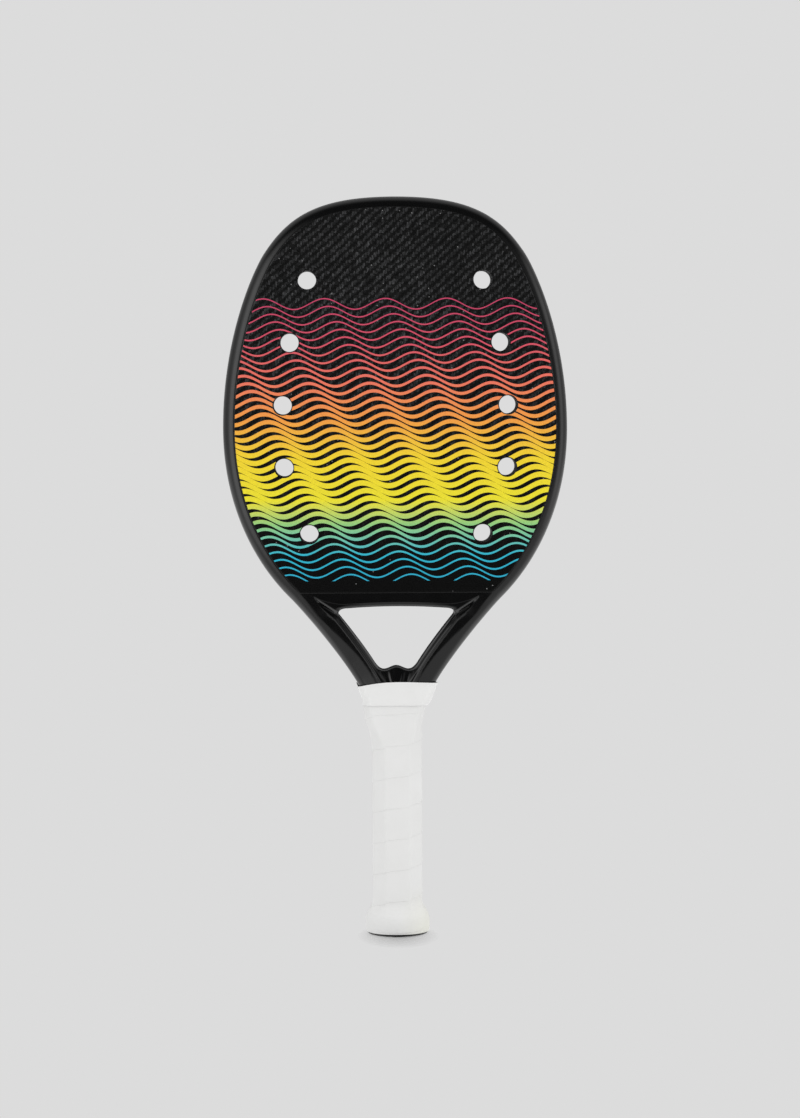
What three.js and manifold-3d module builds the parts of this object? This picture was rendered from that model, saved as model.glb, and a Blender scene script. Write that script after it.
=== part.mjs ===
import * as THREE from 'three';
import { mergeVertices } from 'three/addons/utils/BufferGeometryUtils.js';
import Module from 'manifold-3d';

// A carbon beach tennis racket, upright on its butt, in millimetres.
// X runs across the face, the front face looks towards -Y and +Z runs up the handle.
// The origin is the centre of the flat bottom of the butt lid.

const wasm = await Module();
wasm.setup();

// Overall sizes
const gripLength = 171;
const headLength = 329;
const headWidth = 232.4;
const frameDepth = 21;

// Clearances between neighbours, and how far a cutting shape runs past what it cuts
const fitGap = 0.3;
const glueGap = 0.6;
const cutOverrun = 2;

// Frame tube: its width round the head, down the arms and in the two legs inside the handle.
// Here and below, a drop is a depth below the top of the grip.
const rimWidth = 14;
const armWidth = 17.6;
const legHalfSpan = 11;
const legGap = 1;
const legDepth = 14.4;
const tubeWall = 2.4;
const sideFlat = 6;
const rimBevel = 6.4;
const armBevel = 4.5;
const legBottom = 8;
const legReliefTopDrop = 41;
const legReliefEndDrop = 31;

// Half of the outline, from the top of the grip up to the crown, as the ends and controls of cubic
// curves: across as shares of half the head's width, up as shares of the head's length
const headOutlineShares = [
  [0.2245, 0], [0.325, 0.0624], [0.563, 0.16], [0.618, 0.179],
  [0.786, 0.2377], [1, 0.353], [1, 0.5258],
  [1, 0.7134], [0.815, 0.852], [0.755, 0.8845],
  [0.612, 0.961], [0.442, 1], [0, 1],
];
const neckReachShare = 0.64;
const neckLeadShare = 0.38;
const headCurveSteps = [9, 11, 10, 12];
const neckCurveSteps = 8;

// Open throat between the arms, with heights above the top of the grip
const throatHeight = 53.2;
const throatArchDrop = 1.2;
const throatCornerDrop = 5.9;
const throatCornerRun = 6.2;
const throatCornerReach = 1.2;
const throatEdgeDepth = 13;
const creaseWidth = 4.3;
const archCreaseWidth = 3.3;
const creaseTipRun = 16.2;
const creaseTipRise = 11.2;
const throatSideSteps = 5;

// Ribbed yoke that closes the throat at the bottom
const yokeHeight = 10;
const yokeShoulder = 2.5;
const yokeRise = 2.4;
const yokeLip = 0.8;
const yokeRootDepth = 8;
const yokeGrooveWidth = 1.5;
const yokeGrooveDepth = 0.9;
const yokeGrooveFan = 9;
const yokeGrooveCount = 4;
const yokeGrooveSpacing = 3;

// Bridge below the face, with a foam block in its pocket
const bridgeHeight = 16;
const bridgeBand = 9;
const bridgeFootInset = 10;
const bridgeFootDrop = 4.7;
const bridgeFoamEndWall = 12.7;
const bridgeFoamDepth = 11;
const bridgeFoamFloor = 5.5;

// Face skins and the foam core between them
const skinThickness = 0.8;
const skinInset = 7.3;
const holeDiameter = 12.4;
const holeSides = 20;
// Half the spacing of each pair of holes as a share of half the head's width, and its height as a
// share of the head's length
const holePairShares = [
  [0.5077, 0.8301], [0.611, 0.703], [0.6532, 0.5748], [0.6463, 0.4474], [0.5034, 0.3112],
];

// Pallet halves round the legs
const palletSideWall = 2.5;
const palletFaceWall = 3.9;
const palletReliefStep = 2;
const palletLegStep = 1;
const palletFrontFlat = 15;
const palletSideFlat = 11.4;
const pocketCornerAcross = 0.9;
const pocketCornerDeep = 2;
const armCornerAcross = 2.6;
const armCornerDeep = 4.4;
const armCornerDrop = 31;

// Butt cap and its lid
const capWidth = 37.6;
const capDepth = 32;
const capFrontFlat = 22.6;
const capSideFlat = 18;
const capRimTop = 12;
const capTop = 17;
const capTopWidth = 31.8;
const capTopDepth = 26.2;
const capTopFrontFlat = 18.6;
const capTopSideFlat = 14;
const capShoulder = 1.5;
const lidThickness = 3;
const lidProud = 2;
const lidEdgeRound = 1.4;
const lidPlugHeight = 3.2;
const lidPlugWidth = 20.4;
const lidPlugDepth = 16.4;
const cordHoleDiameter = 7;
const cordHoleSides = 20;

// Staples of the butt cap and of the grip
const stapleWidth = 8;
const stapleWire = 0.6;
const stapleLeg = 6;
const stapleSink = 0.1;
const capStapleHeight = 10.4;
const capStapleSpacing = 12;
const gripStapleHeight = 8.5;

// Cushioned base grip, its end tape, the overgrip and the finishing tape
const baseGripBottom = 4.5;
const baseGripTopDrop = 15;
const baseGripThickness = 1.8;
const baseGripTopThickness = 1;
const baseGripTaperDrop = 33;
const baseTapeLength = 12;
const baseTapeInset = 1;
const baseTapeLead = 1.5;
const baseTapeThickness = 0.2;
const overgripTopDrop = 4.7;
const overgripThickness = 0.8;
const overgripSeatDrop = 9;
const wrapPitch = 21.3;
const wrapStep = 0.42;
const wrapStart = 15.9;
const wrapEndDrop = 13;
const wrapFadeShare = 0.92;
const wrapFloor = 20;
const wrapStepShares = [0, 0.5, 1];
const finishTapeBottomDrop = 14;
const finishTapeShoulderDrop = 4.4;
const finishTapeSeatDrop = 2.4;
const finishTapeRise = 0.5;
const finishTapeThickness = 0.5;
const gripCornerEase = 1;
const mostEaseShare = 0.3;
const gripRows = 4;

const headHalfWidth = headWidth / 2;
const frameHalfDepth = frameDepth / 2;
const legHalfDepth = legDepth / 2;
const throatTop = gripLength + throatHeight;
const throatCorner = throatTop - throatCornerDrop;
const valleyHeight = gripLength + yokeHeight;
const skinBottom = throatTop + bridgeBand;
const coreBottom = throatTop + bridgeHeight;
const capBottom = lidThickness + fitGap;
const overgripBottom = capBottom;

// Heights of what ends at the top of the grip
const legReliefTop = gripLength - legReliefTopDrop;
const legReliefEnd = gripLength - legReliefEndDrop;
const palletTop = legReliefTop - palletReliefStep;
const legStraightTop = palletTop - palletLegStep;
const armCornerStart = gripLength - armCornerDrop;
const baseGripTop = gripLength - baseGripTopDrop;
const baseGripTaperStart = gripLength - baseGripTaperDrop;
const baseTapeTop = baseGripTop - baseTapeInset;
const baseTapeBottom = baseTapeTop - baseTapeLength;
const baseTapeStep = baseTapeBottom - baseTapeLead;
const overgripTop = gripLength - overgripTopDrop;
const overgripSeat = gripLength - overgripSeatDrop;
const wrapEnd = gripLength - wrapEndDrop;
const finishTapeBottom = gripLength - finishTapeBottomDrop;
const finishTapeShoulder = gripLength - finishTapeShoulderDrop;
const finishTapeSeat = gripLength - finishTapeSeatDrop;
const finishTapeTop = gripLength + finishTapeRise;

const carbon = { color: 0x17181a, roughness: 0.32, metalness: 0 };
const weave = { color: 0x222326, roughness: 0.38, metalness: 0 };
const foam = { color: 0x2a2a2b, roughness: 0.85, metalness: 0 };
const palletPlastic = { color: 0x3b3d40, roughness: 0.6, metalness: 0 };
const blackPlastic = { color: 0x111112, roughness: 0.5, metalness: 0 };
const wire = { color: 0xb9bcc0, roughness: 0.3, metalness: 1 };
const cushion = { color: 0x2a2a2c, roughness: 0.8, metalness: 0 };
const whiteWrap = { color: 0xe9e8e4, roughness: 0.65, metalness: 0 };
const whiteTape = { color: 0xeeeeec, roughness: 0.5, metalness: 0 };

const group = new THREE.Group();

function addPiece(name, geometry, look) {
  const mesh = new THREE.Mesh(geometry, new THREE.MeshStandardMaterial(look));
  mesh.name = name;
  group.add(mesh);
  return mesh;
}

// Solids for joining and cutting

function toSolid(geometry) {
  const bare = new THREE.BufferGeometry();
  bare.setAttribute('position', geometry.getAttribute('position').clone());
  if (geometry.index) bare.setIndex(geometry.index.clone());
  const merged = mergeVertices(bare);
  const triVerts = new Uint32Array(merged.index.array);
  const vertProperties = new Float32Array(merged.getAttribute('position').array);
  return new wasm.Manifold(new wasm.Mesh({ numProp: 3, vertProperties, triVerts }));
}

function toGeometry(solid) {
  const mesh = solid.getMesh();
  const geometry = new THREE.BufferGeometry();
  geometry.setAttribute('position', new THREE.BufferAttribute(mesh.vertProperties, 3));
  geometry.setIndex(new THREE.BufferAttribute(mesh.triVerts, 1));
  geometry.computeVertexNormals();
  return geometry;
}

// Joins rings of the same number of points. The first and last rings are capped, or joined to each
// other where closed is true. Each band is split from its lower ring's point to its upper ring's next
// point, so surfaces that follow each other up the part keep their distance.
function loft(rings, closed = false) {
  const count = rings[0].length;
  const positions = rings.flat().flatMap((point) => [point.x, point.y, point.z]);
  const index = [];
  const bands = closed ? rings.length : rings.length - 1;
  for (let band = 0; band < bands; band += 1) {
    const low = band * count;
    const high = ((band + 1) % rings.length) * count;
    const falls = positions[3 * high + 2] < positions[3 * low + 2];
    for (let i = 0; i < count; i += 1) {
      const next = (i + 1) % count;
      index.push(low + i, low + next, falls ? high + i : high + next);
      index.push(falls ? low + next : low + i, high + next, high + i);
    }
  }
  if (!closed) {
    const last = (rings.length - 1) * count;
    for (const [a, b, c] of capTriangles(rings[0])) index.push(a, c, b);
    const top = capTriangles(rings[rings.length - 1]);
    for (const [a, b, c] of top) index.push(last + a, last + b, last + c);
  }
  const geometry = new THREE.BufferGeometry();
  geometry.setAttribute('position', new THREE.Float32BufferAttribute(positions, 3));
  geometry.setIndex(signedVolume(positions, index) < 0 ? index.reverse() : index);
  return geometry;
}

// Triangles of a flat ring, turning the way the ring turns
function capTriangles(ring) {
  const normal = new THREE.Vector3();
  ring.forEach((point, i) => normal.add(point.clone().cross(ring[(i + 1) % ring.length])));
  normal.normalize();
  const steep = Math.abs(normal.z) > Math.abs(normal.x);
  const helper = steep ? new THREE.Vector3(1, 0, 0) : new THREE.Vector3(0, 0, 1);
  const across = helper.cross(normal).normalize();
  const up = normal.clone().cross(across);
  const flat = ring.map((point) => new THREE.Vector2(point.dot(across), point.dot(up)));
  return THREE.ShapeUtils.triangulateShape(flat, []);
}

function signedVolume(positions, index) {
  const corner = (i) => new THREE.Vector3().fromArray(positions, 3 * index[i]);
  let sum = 0;
  for (let i = 0; i < index.length; i += 3) sum += corner(i).dot(corner(i + 1).cross(corner(i + 2)));
  return sum / 6;
}

// A flat outline in X and Z, run along Y
function plate(points, yFrom, yTo, holes = []) {
  const shape = new THREE.Shape(points.map(([x, z]) => new THREE.Vector2(x, z)));
  shape.holes = holes;
  const options = { depth: yTo - yFrom, bevelEnabled: false, curveSegments: holeSides / 2 };
  const geometry = new THREE.ExtrudeGeometry(shape, options);
  geometry.rotateX(Math.PI / 2);
  geometry.translate(0, yTo, 0);
  return geometry;
}

// A flat outline in X and Y, run along Z
function column(points, zFrom, zTo) {
  const shape = new THREE.Shape(points.map(([x, y]) => new THREE.Vector2(x, y)));
  const geometry = new THREE.ExtrudeGeometry(shape, { depth: zTo - zFrom, bevelEnabled: false });
  geometry.translate(0, 0, zFrom);
  return geometry;
}

function mirrored(half) {
  const left = half.filter(([x]) => x > 0).map(([x, z]) => [-x, z]);
  return [...half, ...left.reverse()];
}

function rectangle(halfWidth, halfDepth) {
  return [[halfWidth, halfDepth], [-halfWidth, halfDepth], [-halfWidth, -halfDepth], [halfWidth, -halfDepth]];
}

function lerp(a, b, t) {
  return a + (b - a) * t;
}

// The value at a height in a list of [height, value] rows
function atHeight(rows, z) {
  if (z <= rows[0][0]) return rows[0][1];
  for (let i = 1; i < rows.length; i += 1) {
    const [low, lowValue] = rows[i - 1];
    const [high, highValue] = rows[i];
    if (z <= high) return lerp(lowValue, highValue, (z - low) / (high - low));
  }
  return rows[rows.length - 1][1];
}

// Outline of the frame

// Half of the outline from the foot of a leg to the crown: each point with its inward direction
function traceOutline() {
  const points = headOutlineShares.map(
    ([across, up]) => new THREE.Vector2(across * headHalfWidth, gripLength + up * headLength),
  );
  const neckTop = points[0];
  const reach = neckTop.clone().sub(points[1]).multiplyScalar(neckReachShare);
  const lead = new THREE.Vector2(legHalfSpan, lerp(legStraightTop, gripLength, neckLeadShare));
  const legTop = new THREE.Vector2(legHalfSpan, legStraightTop);
  const curves = [new THREE.CubicBezierCurve(legTop, lead, neckTop.clone().add(reach), neckTop)];
  for (let i = 0; i + 3 < points.length; i += 3) {
    curves.push(new THREE.CubicBezierCurve(points[i], points[i + 1], points[i + 2], points[i + 3]));
  }
  const trace = [{ x: legHalfSpan, z: legBottom, inX: -1, inZ: 0 }];
  curves.forEach((curve, k) => {
    const steps = k === 0 ? neckCurveSteps : headCurveSteps[k - 1];
    for (let i = k === 0 ? 0 : 1; i <= steps; i += 1) {
      const at = curve.getPoint(i / steps);
      const along = curve.getTangent(i / steps);
      trace.push({ x: at.x, z: at.y, inX: -along.y, inZ: along.x });
    }
  });
  Object.assign(trace[trace.length - 1], { x: 0, inX: 0, inZ: -1 });
  return trace;
}

const outline = traceOutline();

function insetOutline(inset) {
  return outline.map((at) => [at.x + at.inX * inset, at.z + at.inZ * inset]);
}

function widthAt(curve, z) {
  for (let i = 1; i < curve.length; i += 1) {
    const [lowX, lowZ] = curve[i - 1];
    const [highX, highZ] = curve[i];
    if (z >= lowZ && z <= highZ) return lerp(lowX, highX, (z - lowZ) / (highZ - lowZ));
  }
  return curve[0][0];
}

// The outline's station whose point at this inset lies at this height
function stationAt(inset, z) {
  const curve = insetOutline(inset);
  const i = curve.findIndex(([, high], k) => k > 0 && z >= curve[k - 1][1] && z <= high);
  const t = (z - curve[i - 1][1]) / (curve[i][1] - curve[i - 1][1]);
  const [low, high] = [outline[i - 1], outline[i]];
  return (at) => [
    lerp(low.x + low.inX * at, high.x + high.inX * at, t),
    lerp(low.z + low.inZ * at, high.z + high.inZ * at, t),
  ];
}

function bevelAt(z) {
  return atHeight([[throatCorner, armBevel], [coreBottom, rimBevel]], z);
}

function tubeWidthAt(z) {
  const legWidth = legHalfSpan - legGap / 2;
  const rows = [
    [legReliefTop, legWidth], [gripLength, armWidth], [throatCorner, armWidth], [coreBottom, rimWidth],
  ];
  return atHeight(rows, z);
}

// The outer form of the frame, with round edges
const edgeAngles = [0, 30, 60, 90].map(THREE.MathUtils.degToRad);

function frameRing(angle, side) {
  const sideHalf = sideFlat / 2;
  const y = side * (sideHalf + (frameHalfDepth - sideHalf) * Math.cos(angle));
  const half = outline.map((at) => {
    const inset = bevelAt(at.z) * (1 - Math.sin(angle));
    return [at.x + at.inX * inset, at.z + at.inZ * inset];
  });
  half[half.length - 1][0] = 0;
  return mirrored(half).map(([x, z]) => new THREE.Vector3(x, y, z));
}

const frameRings = [
  ...edgeAngles.map((angle) => frameRing(angle, -1)),
  ...edgeAngles.map((angle) => frameRing(angle, 1)).reverse(),
];

// How far along the arch its points lie, and how the crease bends on its way to the pointed tip
const archShares = [0, 0.4, 0.75];
const archTipShares = [0.5, 0.3];
const armTipShares = [0.4, 0.5];

function between(from, to, [across, up]) {
  return [lerp(from[0], to[0], across), lerp(from[1], to[1], up)];
}

// The yoke's upper edge: across as a share of the opening's foot, up as a share of the yoke's rise,
// and the matching place at its root as a share of the root's half width
const yokeEdgeShares = [[0.83, 0.25, 1], [0.65, 0, 1], [0.44, 0.25, 0.68], [0.22, 0.79, 0.34], [0, 1, 0]];

// The throat opening, from the middle of its top edge to the middle of the yoke: each point of the
// wall's edge with the point of the outer crease beside it
function throatHalf() {
  const corner = stationAt(armWidth, throatCorner);
  const [cornerX] = corner(armWidth);
  const archEnd = cornerX - throatCornerRun;
  const archZ = (x) => throatTop - throatArchDrop * (x / archEnd) ** 2;
  const pairs = [];
  for (const share of archShares) {
    const x = archEnd * share;
    pairs.push([[x, archZ(x)], [x, archZ(x) + archCreaseWidth]]);
  }
  const fillet = new THREE.QuadraticBezierCurve(
    new THREE.Vector2(archEnd, archZ(archEnd)),
    new THREE.Vector2(cornerX + throatCornerReach, archZ(archEnd)),
    new THREE.Vector2(cornerX, throatCorner),
  );
  const tip = [cornerX + creaseTipRun, throatCorner + creaseTipRise];
  const archCreaseEnd = [archEnd + archCreaseWidth, archZ(archEnd) + archCreaseWidth];
  const armCreaseTop = corner(armWidth - creaseWidth);
  const creases = [
    archCreaseEnd,
    between(archCreaseEnd, tip, archTipShares),
    tip,
    between(armCreaseTop, tip, armTipShares),
    armCreaseTop,
  ];
  creases.forEach((crease, i) => {
    const at = fillet.getPoint(i / (creases.length - 1));
    pairs.push([[at.x, at.y], crease]);
  });
  const sideFoot = valleyHeight + yokeShoulder;
  for (let i = 1; i <= throatSideSteps; i += 1) {
    const at = stationAt(armWidth, lerp(throatCorner, sideFoot, i / throatSideSteps));
    pairs.push([at(armWidth), at(armWidth - creaseWidth)]);
  }
  const [footX] = stationAt(armWidth, sideFoot)(armWidth);
  const armCrease = insetOutline(armWidth - creaseWidth);
  const rootZ = gripLength - yokeRootDepth;
  const rootX = widthAt(armCrease, rootZ);
  const [firstAcross, firstRise] = yokeEdgeShares[0];
  pairs.push([
    [footX * firstAcross, valleyHeight + yokeRise * firstRise],
    [widthAt(armCrease, gripLength), gripLength],
  ]);
  for (const [across, rise, root] of yokeEdgeShares.slice(1)) {
    pairs.push([[footX * across, valleyHeight + yokeRise * rise], [rootX * root, rootZ]]);
  }
  return pairs;
}

function throatRings() {
  const pairs = throatHalf();
  const wall = mirrored(pairs.map(([edge]) => edge));
  const crease = mirrored(pairs.map(([, edge]) => edge));
  const edgeHalf = throatEdgeDepth / 2;
  const beyond = frameHalfDepth + cutOverrun;
  const rows = [
    [crease, -beyond], [crease, -frameHalfDepth], [wall, -edgeHalf],
    [wall, edgeHalf], [crease, frameHalfDepth], [crease, beyond],
  ];
  return rows.map(([points, y]) => points.map(([x, z]) => new THREE.Vector3(x, y, z)));
}

// Everything inside an inset of the outline and above a height, as half an outline
function insetFace(inset, bottom) {
  const curve = insetOutline(inset);
  curve[curve.length - 1][0] = 0;
  const above = curve.filter(([x, z]) => z > bottom + fitGap && x >= 0);
  return [[widthAt(curve, bottom), bottom], ...above];
}

function ballHoles() {
  const holes = [];
  for (const [across, up] of holePairShares) {
    for (const side of [-1, 1]) {
      const hole = new THREE.Path();
      const z = gripLength + up * headLength;
      hole.absarc(side * across * headHalfWidth, z, holeDiameter / 2, 0, 2 * Math.PI, true);
      holes.push(hole);
    }
  }
  return holes;
}

const coreHalfDepth = frameHalfDepth - skinThickness - fitGap;

function skinSlot(side) {
  const points = mirrored(insetFace(skinInset - fitGap, skinBottom - fitGap));
  const inner = side * coreHalfDepth;
  const outer = side * (frameHalfDepth + cutOverrun);
  return toSolid(plate(points, Math.min(inner, outer), Math.max(inner, outer)));
}

function bridgeOutline(gap, top) {
  const rim = insetOutline(rimWidth + gap);
  const [cornerX] = stationAt(armWidth, throatCorner)(armWidth);
  const foot = [cornerX - bridgeFootInset - gap, throatTop - bridgeFootDrop];
  return mirrored([foot, [widthAt(rim, top), top]]);
}

// The wedge between the arms, down to where they meet; the slot between the legs runs on below
function yokeWedge(gap) {
  const seam = insetOutline(armWidth + yokeLip + gap);
  const half = [];
  const top = valleyHeight + yokeRise;
  for (let z = top; z > legStraightTop && widthAt(seam, z) > legGap / 2 + gap; z -= yokeRise) {
    half.push([widthAt(seam, z), z]);
  }
  return half;
}

// Frame tube

// The bore's section, as shares of its half width and half depth
const boreSectionShares = [
  [1, 0.5], [0.55, 1], [-0.55, 1], [-1, 0.5], [-1, -0.5], [-0.55, -1], [0.55, -1], [1, -0.5],
];

function boreRings(shrink, stations) {
  const side = tubeWall + shrink;
  return stations.map((at) => {
    const halfWidth = tubeWidthAt(at.z) / 2 - side;
    const outer = atHeight([[legReliefTop, legHalfDepth], [gripLength, coreHalfDepth]], at.z);
    const centre = tubeWidthAt(at.z) / 2;
    return boreSectionShares.map(([across, deep]) => {
      const inset = centre + across * halfWidth;
      return new THREE.Vector3(at.x + at.inX * inset, deep * (outer - side), at.z + at.inZ * inset);
    });
  });
}

function mirrorStation(at) {
  return { x: -at.x, z: at.z, inX: -at.inX, inZ: at.inZ };
}

function fullBore() {
  const foot = { ...outline[0], z: legBottom - cutOverrun };
  const right = [foot, ...outline.slice(1)];
  const left = right.slice(0, -1).map(mirrorStation).reverse();
  return toSolid(loft(boreRings(0, [...right, ...left])));
}

// Thins the legs inside the handle, front and back
function legRelief(side) {
  const beyond = frameHalfDepth + cutOverrun;
  const foot = legBottom - cutOverrun;
  const profile = [
    [legHalfDepth, foot], [legHalfDepth, legReliefTop], [frameHalfDepth, legReliefEnd],
    [beyond, legReliefEnd], [beyond, foot],
  ];
  const reach = frameHalfDepth + gripLength;
  const rings = [-reach, reach].map((x) => profile.map(([y, z]) => new THREE.Vector3(x, side * y, z)));
  return toSolid(loft(rings));
}

const throat = toSolid(loft(throatRings()));
const frameBody = toSolid(loft(frameRings))
  .subtract(throat)
  .subtract(skinSlot(-1))
  .subtract(skinSlot(1));

function makeFrameTube() {
  const core = toSolid(plate(mirrored(insetFace(rimWidth, coreBottom - fitGap)), -frameDepth, frameDepth));
  const bridge = toSolid(plate(bridgeOutline(-glueGap, coreBottom), -frameDepth, frameDepth));
  const foot = legBottom - cutOverrun;
  const wedge = mirrored([...yokeWedge(0), [legGap / 2, legStraightTop], [legGap / 2, foot]]);
  const slot = toSolid(plate(wedge, -frameDepth, frameDepth));
  return frameBody
    .subtract(core)
    .subtract(bridge)
    .subtract(slot)
    .subtract(legRelief(-1))
    .subtract(legRelief(1))
    .subtract(fullBore());
}

addPiece('frame_tube', toGeometry(makeFrameTube()), carbon);

function legFoam(mirror) {
  const stations = [
    { ...outline[0], z: legBottom + fitGap },
    { ...outline[0], z: legStraightTop },
  ];
  return loft(boreRings(fitGap, mirror ? stations.map(mirrorStation) : stations));
}

addPiece('leg_foam_right', legFoam(false), foam);
addPiece('leg_foam_left', legFoam(true), foam);

// Throat bridge and yoke

function bridgePocket(gap) {
  const seam = insetOutline(rimWidth);
  const half = widthAt(seam, throatTop + bridgeFoamFloor) - bridgeFoamEndWall - gap;
  const floor = throatTop + bridgeFoamFloor + gap;
  const top = gap > 0 ? coreBottom - fitGap : coreBottom + cutOverrun;
  const deep = bridgeFoamDepth / 2 - gap;
  return plate([[half, floor], [half, top], [-half, top], [-half, floor]], -deep, deep);
}

const bridge = frameBody
  .intersect(toSolid(plate(bridgeOutline(0, coreBottom - fitGap), -frameDepth, frameDepth)))
  .subtract(toSolid(bridgePocket(0)));
addPiece('throat_bridge', toGeometry(bridge), carbon);
addPiece('bridge_foam', bridgePocket(fitGap), foam);

// One V groove of the yoke's fan, cut into its sloping front or back
function yokeGroove(place, side) {
  const edge = throatEdgeDepth / 2;
  const topZ = valleyHeight + yokeRise + cutOverrun;
  const rootZ = gripLength - yokeRootDepth;
  const rise = topZ - rootZ;
  const slope = (frameHalfDepth - edge) / (valleyHeight + yokeRise - rootZ);
  const x = (place - (yokeGrooveCount - 1) / 2) * yokeGrooveSpacing;
  const lean = Math.tan(THREE.MathUtils.degToRad(yokeGrooveFan)) * (x / yokeGrooveSpacing);
  const rings = [0, rise].map((up) => {
    const surface = frameHalfDepth - slope * up;
    const centre = x + lean * (up - rise);
    return [
      new THREE.Vector3(centre, side * (surface - yokeGrooveDepth), rootZ + up),
      new THREE.Vector3(centre + yokeGrooveWidth, side * (surface + yokeGrooveDepth), rootZ + up),
      new THREE.Vector3(centre - yokeGrooveWidth, side * (surface + yokeGrooveDepth), rootZ + up),
    ];
  });
  return toSolid(loft(rings));
}

function makeYoke() {
  const wedge = toSolid(plate(mirrored(yokeWedge(fitGap)), -frameDepth, frameDepth));
  let yoke = frameBody.intersect(wedge);
  for (let place = 0; place < yokeGrooveCount; place += 1) {
    for (const side of [-1, 1]) yoke = yoke.subtract(yokeGroove(place, side));
  }
  return yoke;
}

addPiece('throat_yoke', toGeometry(makeYoke()), carbon);

// Foam core and face skins

const coreOutline = mirrored(insetFace(rimWidth + fitGap, coreBottom));
addPiece('foam_core', plate(coreOutline, -coreHalfDepth + fitGap, coreHalfDepth - fitGap, ballHoles()), foam);

const skinOutline = mirrored(insetFace(skinInset, skinBottom));
const skinInner = frameHalfDepth - skinThickness;
addPiece('front_face_skin', plate(skinOutline, -frameHalfDepth, -skinInner, ballHoles()), weave);
addPiece('rear_face_skin', plate(skinOutline, skinInner, frameHalfDepth, ballHoles()), weave);

// Handle

const palletHalfWidth = legHalfSpan + fitGap + palletSideWall;
const palletHalfDepth = legHalfDepth + fitGap + palletFaceWall;
const palletInnerWidth = legHalfSpan + fitGap;
const palletInnerDepth = legHalfDepth + fitGap;

// What the grip is wrapped on, by height: half width, half depth, and how far each corner is cut
// off across and in depth
function carrierRow(z, width, depth, frontFlat, sideFlatLength) {
  return { z, w: width / 2, d: depth / 2, cutX: (width - frontFlat) / 2, cutY: (depth - sideFlatLength) / 2 };
}

const palletWidth = 2 * palletHalfWidth;
const palletDepth = 2 * palletHalfDepth;
const palletRow = carrierRow(palletTop, palletWidth, palletDepth, palletFrontFlat, palletSideFlat);

function carrierAt(z) {
  const rim = carrierRow(capRimTop, capWidth, capDepth, capFrontFlat, capSideFlat);
  const collar = carrierRow(capTop, capTopWidth, capTopDepth, capTopFrontFlat, capTopSideFlat);
  const arm = { w: palletHalfWidth, d: frameHalfDepth + fitGap, cutX: armCornerAcross, cutY: armCornerDeep };
  const rows = [
    rim,
    collar,
    { ...palletRow, z: capTop + capShoulder },
    palletRow,
    { ...arm, z: armCornerStart },
    { ...arm, d: frameHalfDepth, z: gripLength },
  ];
  const value = (key) => atHeight(rows.map((row) => [row.z, row[key]]), z);
  const outer = insetOutline(0);
  const w = z > palletTop ? Math.max(value('w'), widthAt(outer, z)) : value('w');
  return { w, d: value('d'), cutX: value('cutX'), cutY: value('cutY') };
}

// An eight-sided ring whose corners are eased by a second point
function gripRing(z, offset) {
  const { w, d, cutX, cutY } = carrierAt(z);
  const halfW = w + offset;
  const halfD = d + offset;
  const spread = offset * Math.tan(Math.PI / 8);
  const flatX = w - cutX + spread;
  const flatY = d - cutY + spread;
  const corners = [
    [flatX, -halfD], [halfW, -flatY], [halfW, flatY], [flatX, halfD],
    [-flatX, halfD], [-halfW, flatY], [-halfW, -flatY], [-flatX, -halfD],
  ].map(([x, y]) => new THREE.Vector3(x, y, z));
  return corners.flatMap((corner, i) => {
    const before = corners[(i + 7) % 8];
    const after = corners[(i + 1) % 8];
    const easeShare = (other) => Math.min(gripCornerEase / corner.distanceTo(other), mostEaseShare);
    const towards = (other) => corner.clone().lerp(other, easeShare(other));
    return [towards(before), towards(after)];
  });
}

// A closed band between two offsets from what the grip is wrapped on
function sleeve(heights, innerOffset, thickness) {
  const inner = heights.map((z) => gripRing(z, innerOffset(z)));
  const outer = heights.map((z) => gripRing(z, innerOffset(z) + thickness(z)));
  return loft([...outer, ...inner.reverse()], true);
}

function heightsBetween(bottom, top, extra = []) {
  const shares = [...Array(gripRows + 1).keys()].map((i) => i / gripRows);
  const neck = shares.map((share) => lerp(palletTop, armCornerStart, share));
  const arms = shares.map((share) => lerp(armCornerStart, gripLength, share));
  const all = [capRimTop, capTop, capTop + capShoulder, ...neck, ...arms.slice(1), ...extra];
  const inside = all.filter((z) => z > bottom && z < top);
  return [bottom, ...inside.sort((a, b) => a - b), top];
}

// Staples

function stapleOutline(grow, overrun) {
  const outer = stapleWidth / 2 + grow;
  const inner = stapleWidth / 2 - stapleWire - grow;
  const back = -grow - overrun;
  const crown = stapleWire + grow;
  const tip = stapleLeg + grow;
  return [
    [-outer, back], [outer, back], [outer, tip], [inner, tip],
    [inner, crown], [-inner, crown], [-inner, tip], [-outer, tip],
  ];
}

// Each staple: its name, its height, and the turn and sideways place of its crown
const capStapleOut = capDepth / 2 - stapleSink;
const gripStapleOut = capWidth / 2 + fitGap + baseGripThickness - stapleSink;
const staples = [];
for (const [face, turn] of [['front', 0], ['rear', Math.PI]]) {
  for (const [hand, side] of [['left', -1], ['right', 1]]) {
    const name = `butt_staple_${face}_${hand}`;
    staples.push({ name, z: capStapleHeight, turn, out: capStapleOut, along: (side * capStapleSpacing) / 2 });
  }
}
const gripStaple = {
  name: 'grip_staple', z: gripStapleHeight, turn: Math.PI / 2, out: gripStapleOut, along: 0,
};

function placeStaple(staple, grow, overrun) {
  const half = stapleWire / 2 + grow;
  const geometry = column(stapleOutline(grow, overrun), -half, half);
  const flip = Math.cos(staple.turn) < 0 ? -1 : 1;
  geometry.translate(flip * staple.along, -staple.out, 0);
  geometry.rotateZ(staple.turn);
  geometry.translate(0, 0, staple.z);
  return geometry;
}

function cutForStaples(solid, list) {
  const cutters = list.map((staple) => toSolid(placeStaple(staple, fitGap, cutOverrun)));
  return cutters.reduce((left, cutter) => left.subtract(cutter), solid);
}

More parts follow.
